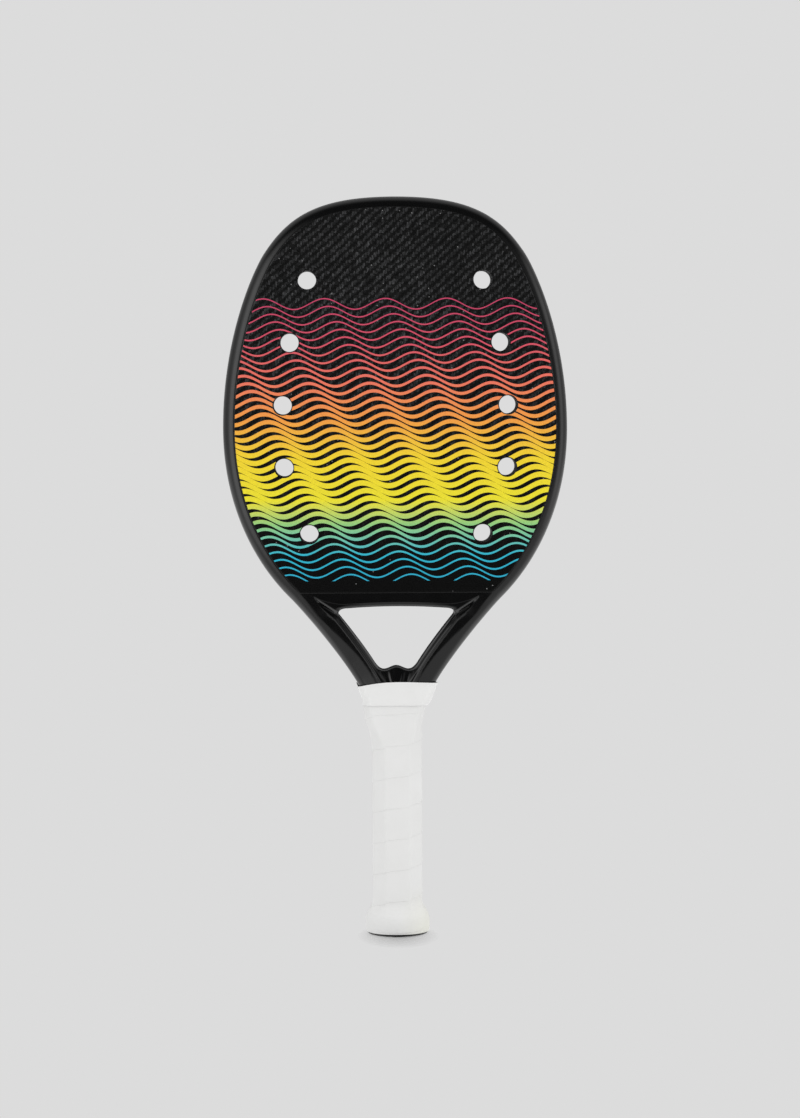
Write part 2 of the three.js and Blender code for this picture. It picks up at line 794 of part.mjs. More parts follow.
for (const staple of [...staples, gripStaple]) addPiece(staple.name, placeStaple(staple, 0, 0), wire);

// Pallet halves

function octagon(halfWidth, halfDepth, cutX, cutY) {
  const flatX = halfWidth - cutX;
  const flatY = halfDepth - cutY;
  return [
    [flatX, -halfDepth], [halfWidth, -flatY], [halfWidth, flatY], [flatX, halfDepth],
    [-flatX, halfDepth], [-halfWidth, flatY], [-halfWidth, -flatY], [-flatX, -halfDepth],
  ];
}

function palletHalf(side) {
  const split = fitGap / 2;
  const reach = palletHalfDepth + cutOverrun;
  const half = rectangle(palletHalfWidth + cutOverrun, (reach - split) / 2)
    .map(([x, y]) => [x, y + (side * (reach + split)) / 2]);
  const outer = gripRing(palletTop, 0).map((point) => [point.x, point.y]);
  const inner = octagon(palletInnerWidth, palletInnerDepth, pocketCornerAcross, pocketCornerDeep);
  const shell = toSolid(column(outer, legBottom, palletTop))
    .subtract(toSolid(column(inner, legBottom - cutOverrun, palletTop + cutOverrun)))
    .intersect(toSolid(column(half, legBottom - cutOverrun, palletTop + cutOverrun)));
  return cutForStaples(shell, [...staples, gripStaple]);
}

addPiece('pallet_front', toGeometry(palletHalf(-1)), palletPlastic);
addPiece('pallet_rear', toGeometry(palletHalf(1)), palletPlastic);

// Butt cap and lid

function makeCap() {
  const outer = toSolid(loft([capBottom, capRimTop, capTop].map((z) => gripRing(z, 0))));
  const ledge = legBottom - fitGap;
  const seat = gripRing(palletTop, fitGap).map((point) => [point.x, point.y]);
  const mouth = rectangle(lidPlugWidth / 2 + fitGap, lidPlugDepth / 2 + fitGap);
  const hollow = toSolid(column(seat, ledge, capTop + cutOverrun))
    .add(toSolid(column(mouth, capBottom - cutOverrun, ledge + fitGap)));
  return cutForStaples(outer.subtract(hollow), [...staples, gripStaple]);
}

addPiece('butt_cap', toGeometry(makeCap()), palletPlastic);

function makeLid() {
  const turn = lidEdgeRound * (1 - Math.SQRT1_2);
  const edge = [
    [0, lidProud - lidEdgeRound], [turn, lidProud - turn], [lidEdgeRound, lidProud], [lidThickness, lidProud],
  ];
  const dish = edge.map(([z, offset]) => gripRing(z, offset));
  const plugOutline = rectangle(lidPlugWidth / 2, lidPlugDepth / 2);
  const plug = column(plugOutline, lidThickness - lidEdgeRound, lidThickness + lidPlugHeight);
  const holeReach = 2 * (lidThickness + lidPlugHeight + cutOverrun);
  const holeRadius = cordHoleDiameter / 2;
  const hole = new THREE.CylinderGeometry(holeRadius, holeRadius, holeReach, cordHoleSides);
  hole.rotateX(Math.PI / 2);
  return toSolid(loft(dish)).add(toSolid(plug)).subtract(toSolid(hole));
}

addPiece('butt_cap_lid', toGeometry(makeLid()), blackPlastic);

// Base grip and its end tape

// The room that the base grip and its tape take above what carries them
function baseRoom(z) {
  return atHeight([[baseGripTaperStart, baseGripThickness], [baseGripTop, baseGripTopThickness]], z);
}

function baseThickness(z) {
  return z < baseTapeStep ? baseRoom(z) : baseRoom(z) - baseTapeThickness - fitGap;
}

const stepHeights = [baseTapeStep - fitGap / 2, baseTapeStep + fitGap / 2];
const tapeHeights = [baseTapeBottom, baseTapeTop];
const baseLevels = [baseGripTaperStart, ...stepHeights, ...tapeHeights];
const baseHeights = heightsBetween(baseGripBottom, baseGripTop, baseLevels);
const baseGrip = cutForStaples(toSolid(sleeve(baseHeights, () => fitGap, baseThickness)), [gripStaple]);
addPiece('base_grip', toGeometry(baseGrip), cushion);

const baseTapeHeights = heightsBetween(baseTapeBottom, baseTapeTop);
const baseTapeInner = (z) => baseRoom(z) - baseTapeThickness + fitGap;
addPiece('base_grip_tape', sleeve(baseTapeHeights, baseTapeInner, () => baseTapeThickness), blackPlastic);

// Overgrip, with the step that each turn makes over the one below

function overgripInner(z) {
  const seatOffset = atHeight([[baseGripTop, baseRoom(baseGripTop) + 2 * fitGap], [overgripSeat, fitGap]], z);
  return z < baseGripTop ? baseRoom(z) + 2 * fitGap : seatOffset;
}

// A ribbon that winds up the handle and thins each turn towards its lower edge
function wrapCutter() {
  const sides = gripRing(wrapFloor, 0).length;
  const rings = [];
  for (let k = 0; wrapStart + (wrapPitch * k) / sides < wrapEnd; k += 1) {
    const seam = wrapStart + (wrapPitch * k) / sides;
    const foot = Math.max(seam - wrapPitch * wrapFadeShare, wrapFloor);
    if (seam < wrapFloor + wrapPitch / sides) continue;
    const at = (share, depth) => {
      const z = lerp(seam, foot, share);
      return gripRing(z, overgripInner(z) + overgripThickness + depth)[k % sides];
    };
    const low = wrapStepShares.map((share) => at(share, -wrapStep * (1 - share)));
    const high = wrapStepShares.map((share) => at(share, cutOverrun)).reverse();
    rings.push([...low, ...high]);
  }
  return toSolid(loft(rings));
}

const overgripLevels = [baseGripTaperStart, ...stepHeights, ...tapeHeights, baseGripTop, overgripSeat];
const overgripHeights = heightsBetween(overgripBottom, overgripTop, overgripLevels);
const overgripSleeve = toSolid(sleeve(overgripHeights, overgripInner, () => overgripThickness));
addPiece('overgrip', toGeometry(overgripSleeve.subtract(wrapCutter())), whiteWrap);

// Finishing tape

function finishTapeInner(z) {
  const over = overgripInner(Math.min(z, overgripTop)) + overgripThickness + fitGap;
  return z <= finishTapeShoulder ? over : atHeight([[finishTapeShoulder, over], [finishTapeSeat, fitGap]], z);
}

const finishLevels = [baseGripTop, overgripSeat, finishTapeShoulder, finishTapeSeat];
const finishHeights = heightsBetween(finishTapeBottom, finishTapeTop, finishLevels);
addPiece('finishing_tape', sleeve(finishHeights, finishTapeInner, () => finishTapeThickness), whiteTape);

export default group;
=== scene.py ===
import math

import bmesh
import bpy
import numpy as np
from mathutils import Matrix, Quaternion, Vector, noise
from mathutils.geometry import delaunay_2d_cdt


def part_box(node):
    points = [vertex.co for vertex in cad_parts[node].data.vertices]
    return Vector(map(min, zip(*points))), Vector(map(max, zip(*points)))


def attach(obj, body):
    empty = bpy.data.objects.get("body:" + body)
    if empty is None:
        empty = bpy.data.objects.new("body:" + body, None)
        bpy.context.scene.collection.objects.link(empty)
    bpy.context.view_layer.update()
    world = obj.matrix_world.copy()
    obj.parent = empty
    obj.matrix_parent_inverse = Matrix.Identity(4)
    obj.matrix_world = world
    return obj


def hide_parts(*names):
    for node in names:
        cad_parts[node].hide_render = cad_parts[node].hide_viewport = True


# A beach tennis racket, upright on its butt, in metres. X runs across the face, the front face looks
# towards -Y and +Z runs up the handle. A depth is a distance from the middle plane, y = 0.

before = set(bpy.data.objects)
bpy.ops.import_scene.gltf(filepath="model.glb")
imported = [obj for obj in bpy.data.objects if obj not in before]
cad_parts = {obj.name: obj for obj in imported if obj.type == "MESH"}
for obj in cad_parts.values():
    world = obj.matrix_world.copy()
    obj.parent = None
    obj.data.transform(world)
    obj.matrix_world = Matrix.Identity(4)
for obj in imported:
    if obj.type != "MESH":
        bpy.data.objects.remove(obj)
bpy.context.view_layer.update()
scene = bpy.context.scene

# Frame outline and thickness
GRIP_LENGTH = 0.171
HEAD_LENGTH = 0.329
HEAD_HALF_WIDTH = 0.1162
HALF_DEPTH = 0.0105
SIDE_HALF = 0.003
LEG_HALF_SPAN = 0.011
LEG_TOP = 0.127
OUTLINE_SHARES = (
    (0.2245, 0), (0.325, 0.0624), (0.563, 0.16), (0.618, 0.179),
    (0.786, 0.2377), (1, 0.353), (1, 0.5258),
    (1, 0.7134), (0.815, 0.852), (0.755, 0.8845),
    (0.612, 0.961), (0.442, 1), (0, 1),
)
NECK_REACH_SHARE = 0.64
NECK_LEAD_SHARE = 0.38
LEG_HEIGHTS = (0.008, 0.03, 0.06, 0.09)
LEG_HALF_DEPTH = 0.0072
LEG_GAP = 0.0005
LEG_ROUND = 0.0022
LEG_WALL = 0.0024
STATION_STEP = 0.0018
STATION_CLEAR = 0.0004
FOOT_HEIGHT = 0.152

# Section of the frame's front: round the head one round edge, and on the arms a tighter one and a
# facet that leans outwards, up to a crest whose inset changes with height, then a nearly flat band
RIM_REACH = 0.009
ARM_REACH = 0.005
FACET_SLOPE = 0.27
CREST_ROWS = (
    (0.173, 0.0113), (0.184, 0.0108), (0.193, 0.0093), (0.199, 0.0083), (0.213, 0.0058), (0.230, 0.0045),
)
CREST_ROUND = 0.0008
BAND_SLOPE = 0.02
RIM_BLEND = (0.206, 0.234)
EDGE_ROWS = 14

# Open throat
ARM_WIDTH = 0.0172
THROAT_TOP = GRIP_LENGTH + 0.0532
ARCH_DROP = 0.0012
CORNER_HEIGHT = THROAT_TOP - 0.0059
CORNER_RUN = 0.0062
CORNER_REACH = 0.0012
ARM_DROP = 0.003
ARCH_DROP_DEPTH = 0.0008
CREASE_WIDTH = 0.0036
ARCH_CREASE_WIDTH = 0.0033
TIP_RUN = 0.0180
TIP_RISE = 0.0138
ARM_BEVEL_POWER = 2.3
ARCH_BEVEL_POWER = 2
WALL_ROUND = 0.0012
ARCH_STEPS = 16
CORNER_STEPS = 44
ARCH_TIP_SHARES = (0.5, 0.3)
ARM_TIP_SHARES = (0.6, 0.5)
# Bead along the crease, lower on the arch, and the rows of points that shape it
BEAD_HEIGHT = 0.00042
BEAD_WIDTH = 0.0009
ARCH_BEAD_SHARE = 0.2
ARCH_BEAD_START = 0.003
ARCH_BEAD_RUN = 0.005
BEAD_ROWS = (0.0002, 0.0004, 0.0006, 0.0008, 0.00095)
# Points inside the frame's front: how far they keep apart, the insets of those on the arms, and the
# grid on the bridge, with its steps, its gaps to the edge and to other points, and its reach
BEAD_GAP = 0.00015
FACET_GAP = 0.0006
FACET_INSETS = (0.0081, 0.0089, 0.0097, 0.0105, 0.0113, 0.0121)
BRIDGE_STEPS = (0.0024, 0.0022)
BRIDGE_GAPS = (0.0007, 0.0012)
BRIDGE_LOW = 0.0048
BRIDGE_HIGH = 0.001
BRIDGE_HALF = 0.036
BRIDGE_REACH = 0.06
# Step from each tip of the crease towards the throat's corner, below the arch's bevel
STEP_END = (0.0405, THROAT_TOP - 0.0026)
STEP_WIDTH = 0.0025
STEP_DROP = 0.0015
STEP_FADE = 0.0045
STEP_START = 0.002
STEP_RISE = 0.0022
STEP_SOFT_SHARE = 0.25

# Face skins, foam core and ball holes
SKIN_INSET = 0.0073
SKIN_THICKNESS = 0.0008
SKIN_BOTTOM = THROAT_TOP + 0.009
CORE_BOTTOM = THROAT_TOP + 0.016
CORE_INSET = 0.0143
CORE_HALF_DEPTH = HALF_DEPTH - SKIN_THICKNESS - 0.0001
GROOVE_GAP = 0.00012
GROOVE_DEPTH = 0.0001
GROOVE_RUN = 0.006
GROOVE_ROWS = ((0.0003, 0.03), (0.00012, 0.3), (0, 1))
RIM_ROWS_GAP = 0.0006
HOLE_RADIUS = 0.0062
HOLE_SIDES = 72
HOLE_SHARES = (
    (0.5077, 0.8301), (0.611, 0.703), (0.6532, 0.5748), (0.6463, 0.4474), (0.5034, 0.3112),
)

# Yoke: a fluted web with a humped edge, between the arms' feet
YOKE_VALLEY = GRIP_LENGTH + 0.0095
YOKE_RISE = 0.0024
YOKE_VALLEY_HALF = 0.0084
YOKE_FILLET_TOP = GRIP_LENGTH + 0.0158
YOKE_ROOT = GRIP_LENGTH - 0.013
YOKE_STEPS = 30
FILLET_STEPS = 16
RIDGE_CENTRE = GRIP_LENGTH - 0.0106
# Each ridge's lean from upright, half width and height
RIDGES = ((math.radians(14), 0.0010, 0.00036), (math.radians(34), 0.0010, 0.00036))
RIDGE_FADE = 0.004
RIDGE_START = 0.002
RIDGE_RISE = 0.006

# Printed waves on the faces
WAVE_TOP = 0.428
WAVE_BOTTOM = 0.2425
WAVE_SPACING = 0.0051
WAVE_LENGTH = 0.041
WAVE_HEIGHT = 0.0036
WAVE_PHASE_STEP = 0.42
WAVE_STEP = 0.0014
WAVE_OVERRUN = 0.004
INK_MARGIN = 0.0008
INK_LIFT = 0.0085
INK_HOLE_GAP = 0.0006
INK_THICKNESS = 0.00004
# Thickness of a printed wave by its height share, from the lowest wave to the highest
WAVE_WIDTH_ROWS = (
    (0, 0.0010), (0.12, 0.0014), (0.26, 0.0036), (0.42, 0.0036), (0.62, 0.0025), (0.82, 0.0012),
    (1, 0.0008),
)

# Handle: height, half width, half depth, and how far each corner is cut off across and in depth
GRIP_ROWS = (
    (0.0120, 0.0188, 0.0160, 0.0075, 0.0070),
    (0.0170, 0.0159, 0.0131, 0.0066, 0.0061),
    (0.0185, 0.0138, 0.0114, 0.0063, 0.0057),
    (0.1280, 0.0138, 0.0114, 0.0063, 0.0057),
    (0.1400, 0.0138, 0.0108, 0.0026, 0.0044),
    (0.1710, 0.0138, 0.0105, 0.0026, 0.0044),
)
PALLET_TOP = 0.128
# Radius of the grip's corners by height
CORNER_ROWS = ((0.010, 0.0125), (0.019, 0.0042), (0.130, 0.0042), (0.156, 0.0065))
GRIP_CORNER_POINTS = 7
GRIP_EDGE_POINTS = 5
FLARE_BLUR = 0.0022
TABLE_TOP = 0.1765
TABLE_STEP = 0.0005
# Padding that widens the neck, by height
NECK_ROWS = (
    (0.128, 0), (0.1305, 0.0005), (0.1406, 0.0013), (0.146, 0.0028), (0.1514, 0.0018),
    (0.1555, 0.0009), (0.1595, 0.0003), (0.166, 0.0003), (0.1725, 0),
)
# How far the padding of the neck sits to the left, by height
LEAN_ROWS = (
    (0.128, 0), (0.136, 0.0004), (0.1415, 0.0016), (0.1455, 0.0022), (0.1555, 0.0014), (0.161, 0),
)
# How much of the octagon gives way to an ellipse at the butt, and where that ends
BUTT_ROUND_SHARE = 0.74
BUTT_ROUND_ROWS = (0.010, 0.0185)
OVERGRIP_ROWS = ((0.138, 0.0024), (0.156, 0.0016), (0.162, 0.0003))
OVERGRIP_THICKNESS = 0.0008
WRAP_LOW = 0.0016
WRAP_HIGH = 0.1605
WRAP_TURN = 0.0006
WRAP_PITCH = 0.0213
WRAP_START = 0.0159
WRAP_STEP = 0.00042
WRAP_LAG_TURNS = 0.62
WRAP_LIP_SHARES = (0.03, 0.35)
# Where the wrap's step comes in above the flange, and its crumple, each as a start and a run
WRAP_STEP_ROWS = (0.006, 0.012)
WRAP_CRUMPLE_ROWS = (0.004, 0.004)
WRAP_TURN_RUN = 0.0018
WRAP_INNER_HEIGHTS = (0.006, 0.012, 0.0185, 0.06, 0.128, 0.14, 0.146, 0.152)
# Clearance inside the wrap, in the flange and above
WRAP_GAPS = (0.0003, 0.0004)
CRUMPLE_WIDE = 0.00022
CRUMPLE_FINE = 0.00009
CUSHION_ROWS = ((0.138, 0.0018), (0.156, 0.0010))
CUSHION_GAP = 0.0003
CUSHION_FLARE_TOP = 0.03
CUSHION_STEM = 0.034
TAPE_ROWS = ((0.157, 0.0029), (0.1645, 0.0021), (0.1725, 0.0010))
TAPE_SHELL = 0.0004
# Between these heights the tape comes to lie this close on the frame
TAPE_HUG_ROWS = (0.161, 0.1705)
TAPE_CLEAR = 0.0009
TAPE_SEAM_X = 0.0088
TAPE_LAP = 0.0005
TAPE_EDGE_THIN = 0.0004
TAPE_EDGE_SHARE = 0.05
TAPE_CRUMPLE_SHARE = 0.35
# Height of the tape's upper edge over the fork, how much lower its left and right ends are, and how
# far out they lie; and its height behind
TAPE_EDGE_TOP = GRIP_LENGTH + 0.0019
TAPE_LEFT_FALL = 0.0031
TAPE_RIGHT_FALL = 0.0010
TAPE_EDGE_HALF = 0.026
TAPE_REAR_TOP = GRIP_LENGTH + 0.0004
LID_THICKNESS = 0.003
LID_PROUD = 0.0018
LID_EDGE_ROUND = 0.0011
LID_TOP_ROUND = 0.0004
LID_RING_HEIGHT = 0.004
CORD_HOLE_RADIUS = 0.0035
CORD_HOLE_SIDES = 48

# Camera and room, from the photograph's view
CAMERA_DISTANCE = 1.90
CAMERA_HEIGHT = 0.380
CAMERA_AIM = Vector((0.0028, 0, 0.2557))
CAMERA_AZIMUTH = math.radians(1.5)
CAMERA_ROLL = math.radians(-0.28)
IMAGE_HALF_HEIGHT = 0.3793
BACKDROP_TONE = 0.716
FLOOR_RADIUS = 0.066
FLOOR_SIDES = 96
FLOOR_GAP = 0.0001
# Tone of the floor, darker than the backdrop: a painted shadow before the butt
FLOOR_SHADOW_TONE = 0.5
# The floor's painted shadow fades out round a point before the butt, sooner across than in depth
SHADOW_PATCH_CENTRE = -0.014
SHADOW_PATCH_FADE_ROWS = (0.004, 0.042)
SHADOW_PATCH_ACROSS_SHARE = 1.5
# Lamps: place, width and height, and power
LAMP_AIM = Vector((0, 0, 0.27))
LAMPS = (
    ("key", (-0.82, -1.42, 0.55), (0.26, 0.9), 3.2),
    ("fill", (1.6, -0.78, 0.5), (0.34, 0.9), 4.2),
    ("top", (0, -0.2, 1.7), (1.2, 0.9), 3),
)
# Light of the room, and what gloss sees of it: its dark ends, its walls, its ground and its boxes
ROOM_TONE = 0.80
DARK_TONE = 0.03
WALL_TONE = 0.65
GROUND_TONE = 0.70
REAR_GROUND_TONE = 1.2
STEEP_GROUND_TONE = 2.0
LEFT_BOX_TONE = 2.1
RIGHT_BOX_TONES = (0.25, 1.25)


# Small sums

def lerp(a, b, t):
    return a + (b - a) * t


def smooth(t):
    t = np.clip(t, 0, 1)
    return t * t * (3 - 2 * t)


def rise(value, low, high):
    return smooth((value - low) / (high - low))


def sizes(vectors):
    return np.linalg.norm(vectors, axis=1)


def at_height(rows, z, column=1):
    heights = [row[0] for row in rows]
    return np.interp(z, heights, [row[column] for row in rows])


def ring_of(radius, count, x=0.0, z=0.0):
    angles = np.linspace(0, 2 * math.pi, count, endpoint=False)
    return [(x + radius * math.cos(a), z + radius * math.sin(a)) for a in angles]


def outwards(x, y, by):
    """A point moved away from the handle's axis."""
    grow = 1 + by / math.hypot(x, y)
    return x * grow, y * grow


# Outline

def bezier(points, t):
    a, b, c, d = points
    s = 1 - t
    at = a * s ** 3 + 3 * b * s * s * t + 3 * c * s * t * t + d * t ** 3
    along = (b - a) * s * s + 2 * (c - b) * s * t + (d - c) * t * t
    return at, along / np.linalg.norm(along)


def outline_curves():
    points = [np.array((x * HEAD_HALF_WIDTH, GRIP_LENGTH + z * HEAD_LENGTH)) for x, z in OUTLINE_SHARES]
    neck_top = points[0]
    reach = neck_top + (neck_top - points[1]) * NECK_REACH_SHARE
    lead = np.array((LEG_HALF_SPAN, lerp(LEG_TOP, GRIP_LENGTH, NECK_LEAD_SHARE)))
    curves = [(np.array((LEG_HALF_SPAN, LEG_TOP)), lead, reach, neck_top)]
    for i in range(0, len(points) - 3, 3):
        curves.append(tuple(points[i:i + 4]))
    return curves


fine_outline = [bezier(curve, t) for curve in outline_curves() for t in np.linspace(0, 1, 200)]
outline_heights = [at[1] for at, _ in fine_outline]
outline_widths = [at[0] for at, _ in fine_outline]


def outline_width(z):
    return float(np.interp(z, outline_heights, outline_widths))


def trace_outline():
    """Half of the outline as stations an even step apart: points and inward directions."""
    fine = [pair for pair in fine_outline if pair[0][1] >= FOOT_HEIGHT]
    points = np.array([at for at, _ in fine])
    along = np.array([direction for _, direction in fine])
    length = np.concatenate(([0], np.cumsum(sizes(np.diff(points, axis=0)))))
    stops = np.linspace(0, length[-1], int(length[-1] / STATION_STEP))
    at = np.stack([np.interp(stops, length, points[:, k]) for k in (0, 1)], axis=1)
    way = np.stack([np.interp(stops, length, along[:, k]) for k in (0, 1)], axis=1)
    way /= sizes(way)[:, None]
    at[-1, 0] = 0
    way[-1] = (-1, 0)
    return at, np.stack((-way[:, 1], way[:, 0]), axis=1)


def with_station(at, inward, inset, z):
    """Adds the station whose point at this inset lies at this height, and says where it is."""
    height = at[:, 1] + inward[:, 1] * inset
    i = int(np.argmax(height > z))
    t = (z - height[i - 1]) / (height[i] - height[i - 1])
    at = np.insert(at, i, lerp(at[i - 1], at[i], t), axis=0)
    inward = np.insert(inward, i, lerp(inward[i - 1], inward[i], t), axis=0)
    return at, inward, i


edge_at, edge_in = trace_outline()
edge_at, edge_in, CORNER_STATION = with_station(edge_at, edge_in, ARM_WIDTH, CORNER_HEIGHT)
edge_at, edge_in, SKIN_STATION = with_station(edge_at, edge_in, SKIN_INSET, SKIN_BOTTOM)


def inset_half(inset):
    """The half outline moved in by an inset."""
    return edge_at + edge_in * inset


def from_outline(points):
    """How far each point lies in from the outline, and the height of the outline nearest to it."""
    insets, heights = [], []
    for x, z in points:
        gaps = sizes(edge_at - (abs(x), z))
        nearest = int(np.argmin(gaps))
        insets.append(gaps[nearest])
        heights.append(edge_at[nearest, 1])
    return np.array(insets), np.array(heights)


def edge_drop(inset, reach):
    """Share of a round edge's drop at an inset: all of it on the outline, none past its reach."""
    lean = 1 - np.minimum(inset, reach) / reach
    return 1 - np.sqrt(np.maximum(1 - lean * lean, 0))


def soft_rise(value, blur):
    """The value where it is above zero, and zero elsewhere, with a rounded bend."""
    bend = (np.clip(value, -blur, blur) + blur) ** 2 / (4 * blur)
    return np.where(value > blur, value, bend)


def surface_depth(inset, z):
    """Depth of the frame's front at an inset from the outline, z being the outline's height there."""
    whole = HALF_DEPTH - SIDE_HALF
    rim = whole * edge_drop(inset, RIM_REACH)
    crest = at_height(CREST_ROWS, z)
    crease = ARM_WIDTH - CREASE_WIDTH
    facet = (FACET_SLOPE - BAND_SLOPE) * soft_rise(crest - inset, CREST_ROUND)
    facet = facet + BAND_SLOPE * np.maximum(crease - inset, 0)
    at_edge = (FACET_SLOPE - BAND_SLOPE) * crest + BAND_SLOPE * crease
    arm = facet + (whole - at_edge) * edge_drop(inset, ARM_REACH)
    return HALF_DEPTH - lerp(arm, rim, rise(z, *RIM_BLEND))


# Mesh helpers

def triangulate(loops, inner_points=()):
    """Points and triangles of overlaid loops, each triangle with the loops that it lies in."""
    points = [Vector(point) for loop in (*loops, inner_points) for point in loop]
    faces = []
    start = 0
    for loop in loops:
        faces.append(list(range(start, start + len(loop))))
        start += len(loop)
    at, _, triangles, _, _, origins = delaunay_2d_cdt(points, [], faces, 0, 1e-7)
    return at, list(zip(triangles, origins))


def add_object(name, data):
    piece = bpy.data.objects.new(name, data)
    scene.collection.objects.link(piece)
    return piece


class Shell:
    """Points and faces gathered into one mesh."""

    def __init__(self):
        self.points = []
        self.faces = []

    def add(self, points):
        first = len(self.points)
        self.points.extend(tuple(float(value) for value in point) for point in points)
        return list(range(first, len(self.points)))

    def rows(self, rows, closed=False):
        """Rows of points with a strip of faces between each and the next."""
        indices = [self.add(row) for row in rows]
        for low, high in zip(indices, indices[1:]):
            for i in range(len(low) if closed else len(low) - 1):
                j = (i + 1) % len(low)
                self.faces.append((low[i], low[j], high[j], high[i]))

    def fill(self, loops, depth, inner_points=()):
        """Triangles over a flat region: the first loop is its edge and the others are holes."""
        at, triangles = triangulate(loops, inner_points)
        indices = self.add([(x, -depth(x, z), z) for x, z in at])
        for triangle, origin in triangles:
            if list(origin) == [0]:
                self.faces.append(tuple(indices[i] for i in triangle))

    def mirror_depth(self):
        """Adds the same surface on the other side of the middle plane."""
        offset = len(self.points)
        self.points += [(x, -y, z) for x, y, z in self.points]
        self.faces += [tuple(i + offset for i in reversed(face)) for face in self.faces]

    def build(self, name, material, slot, *nodes, sharp=35, close=False, weighted=True):
        mesh = bpy.data.meshes.new(name)
        mesh.from_pydata(self.points, [], self.faces)
        work = bmesh.new()
        work.from_mesh(mesh)
        bmesh.ops.remove_doubles(work, verts=work.verts, dist=2e-6)
        bmesh.ops.dissolve_degenerate(work, dist=1e-6, edges=work.edges)
        if close:
            edges = [edge for edge in work.edges if edge.is_boundary]
            filled = bmesh.ops.holes_fill(work, edges=edges, sides=0)
            bmesh.ops.triangulate(work, faces=filled["faces"])
        loose = [vert for vert in work.verts if not vert.link_faces]
        bmesh.ops.delete(work, geom=loose, context="VERTS")
        bmesh.ops.recalc_face_normals(work, faces=work.faces)
        work.to_mesh(mesh)
        work.free()
        for polygon in mesh.polygons:
            polygon.use_smooth = True
        mesh.set_sharp_from_angle(angle=math.radians(sharp))
        piece = add_object(name, mesh)
        mesh.materials.append(material)
        if weighted:
            modifier = piece.modifiers.new("even_normals", "WEIGHTED_NORMAL")
            modifier.keep_sharp = True
            modifier.weight = 100
        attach(piece, "root")
        if nodes:
            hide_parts(*nodes)
        return piece


def mirror_x(half):
    """A half, listed from one end to the middle plane, with its mirror image listed on from it."""
    half = np.asarray(half, float)
    other = half[::-1].copy()
    other[:, 0] *= -1
    skip = 1 if abs(half[-1, 0]) < 1e-9 else 0
    return np.concatenate((half, other[skip:]))


# Materials

class Nodes:
    """A node tree, with short calls for the sums in it."""

    def __init__(self, tree, place):
        self.tree = tree
        self.tree.nodes.clear()
        self.place = self.add("ShaderNodeTexCoord").outputs[place]
        self.x, self.y, self.z = self.fed("ShaderNodeSeparateXYZ", {0: self.place}).outputs

    def add(self, kind, **settings):
        node = self.tree.nodes.new(kind)
        for key, value in settings.items():
            setattr(node, key, value)
        return node

    def wire(self, value, socket):
        if isinstance(value, bpy.types.NodeSocket):
            self.tree.links.new(value, socket)
        else:
            socket.default_value = value

    def fed(self, kind, inputs, **settings):
        """A node with values or sockets on its inputs, which are named or numbered."""
        node = self.add(kind, **settings)
        for place, value in dict(inputs).items():
            self.wire(value, node.inputs[place])
        return node

    def math(self, operation, *values):
        return self.fed("ShaderNodeMath", enumerate(values), operation=operation).outputs[0]

    def product(self, *values):
        total = values[0]
        for value in values[1:]:
            total = self.math("MULTIPLY", total, value)
        return total

    def blend(self, factor, low, high):
        return self.fed("ShaderNodeMix", {0: factor, 2: low, 3: high}).outputs[0]

    def remap(self, value, low, high, to_low=0.0, to_high=1.0, kind="LINEAR"):
        inputs = enumerate((value, low, high, to_low, to_high))
        return self.fed("ShaderNodeMapRange", inputs, clamp=True, interpolation_type=kind).outputs[0]

    def ease(self, value, low, high, to_low=0.0, to_high=1.0):
        return self.remap(value, low, high, to_low, to_high, "SMOOTHSTEP")


class Look(Nodes):
    """A node material. Places are in metres, from the object's own coordinates."""

    def __init__(self, name):
        self.material = bpy.data.materials.new(name)
        self.material.use_nodes = True
        super().__init__(self.material.node_tree, "Object")

    def stretch(self, across, deep, up):
        inputs = {0: self.place, 1: (across, deep, up)}
        return self.fed("ShaderNodeVectorMath", inputs, operation="MULTIPLY").outputs[0]

    def noise(self, scale, detail=2.0, rough=0.5, vector=None):
        inputs = {"Vector": vector or self.place, "Scale": scale, "Detail": detail, "Roughness": rough}
        return self.fed("ShaderNodeTexNoise", inputs).outputs[0]

    def mottle(self, scale, detail, low, high):
        """A value that a noise spreads between two ends."""
        return self.remap(self.noise(scale, detail), 0.3, 0.7, low, high)

    def voronoi(self, scale):
        node = self.fed("ShaderNodeTexVoronoi", {"Vector": self.place, "Scale": scale})
        split = self.fed("ShaderNodeSeparateColor", {0: node.outputs["Color"]})
        return node.outputs["Distance"], split.outputs[0]

    def mix(self, factor, low, high):
        return self.fed("ShaderNodeMix", {0: factor, 6: low, 7: high}, data_type="RGBA").outputs[2]

    def ramp(self, value, stops):
        node = self.fed("ShaderNodeValToRGB", {0: value})
        elements = node.color_ramp.elements
        while len(elements) < len(stops):
            elements.new(0.5)
        for element, (position, colour) in zip(elements, stops):
            element.position = position
            element.color = colour
        return node.outputs[0]

    def bump(self, height, distance, strength=1.0, under=None):
        inputs = {"Height": height, "Distance": distance, "Strength": strength}
        if under:
            inputs["Normal"] = under
        return self.fed("ShaderNodeBump", inputs).outputs[0]

    def grain(self, scale, detail, depth, strength, under=None):
        return self.bump(self.noise(scale, detail), depth, strength, under)

    def finish(self, base, roughness, normal, **constants):
        inputs = {"Base Color": base, "Roughness": roughness, "Normal": normal}
        inputs.update((key.replace("_", " "), value) for key, value in constants.items())
        shader = self.fed("ShaderNodeBsdfPrincipled", inputs)
        self.fed("ShaderNodeOutputMaterial", {0: shader.outputs[0]})
        return self.material


def grey(value):
    return (value, value, value, 1)


def frame_paint():
    look = Look("frame_paint")
    tone = look.noise(38, 3)
    base = look.mix(tone, (0.0015, 0.0015, 0.0016, 1), (0.0028, 0.0028, 0.0029, 1))
    peel = look.grain(420, 2, 0.00004, 0.5)
    return look.finish(base, look.mottle(90, 4, 0.17, 0.22), peel)


TOW_ACROSS = 0.0016
TOW_UP = 0.0018
TOW_LEAN = 0.22
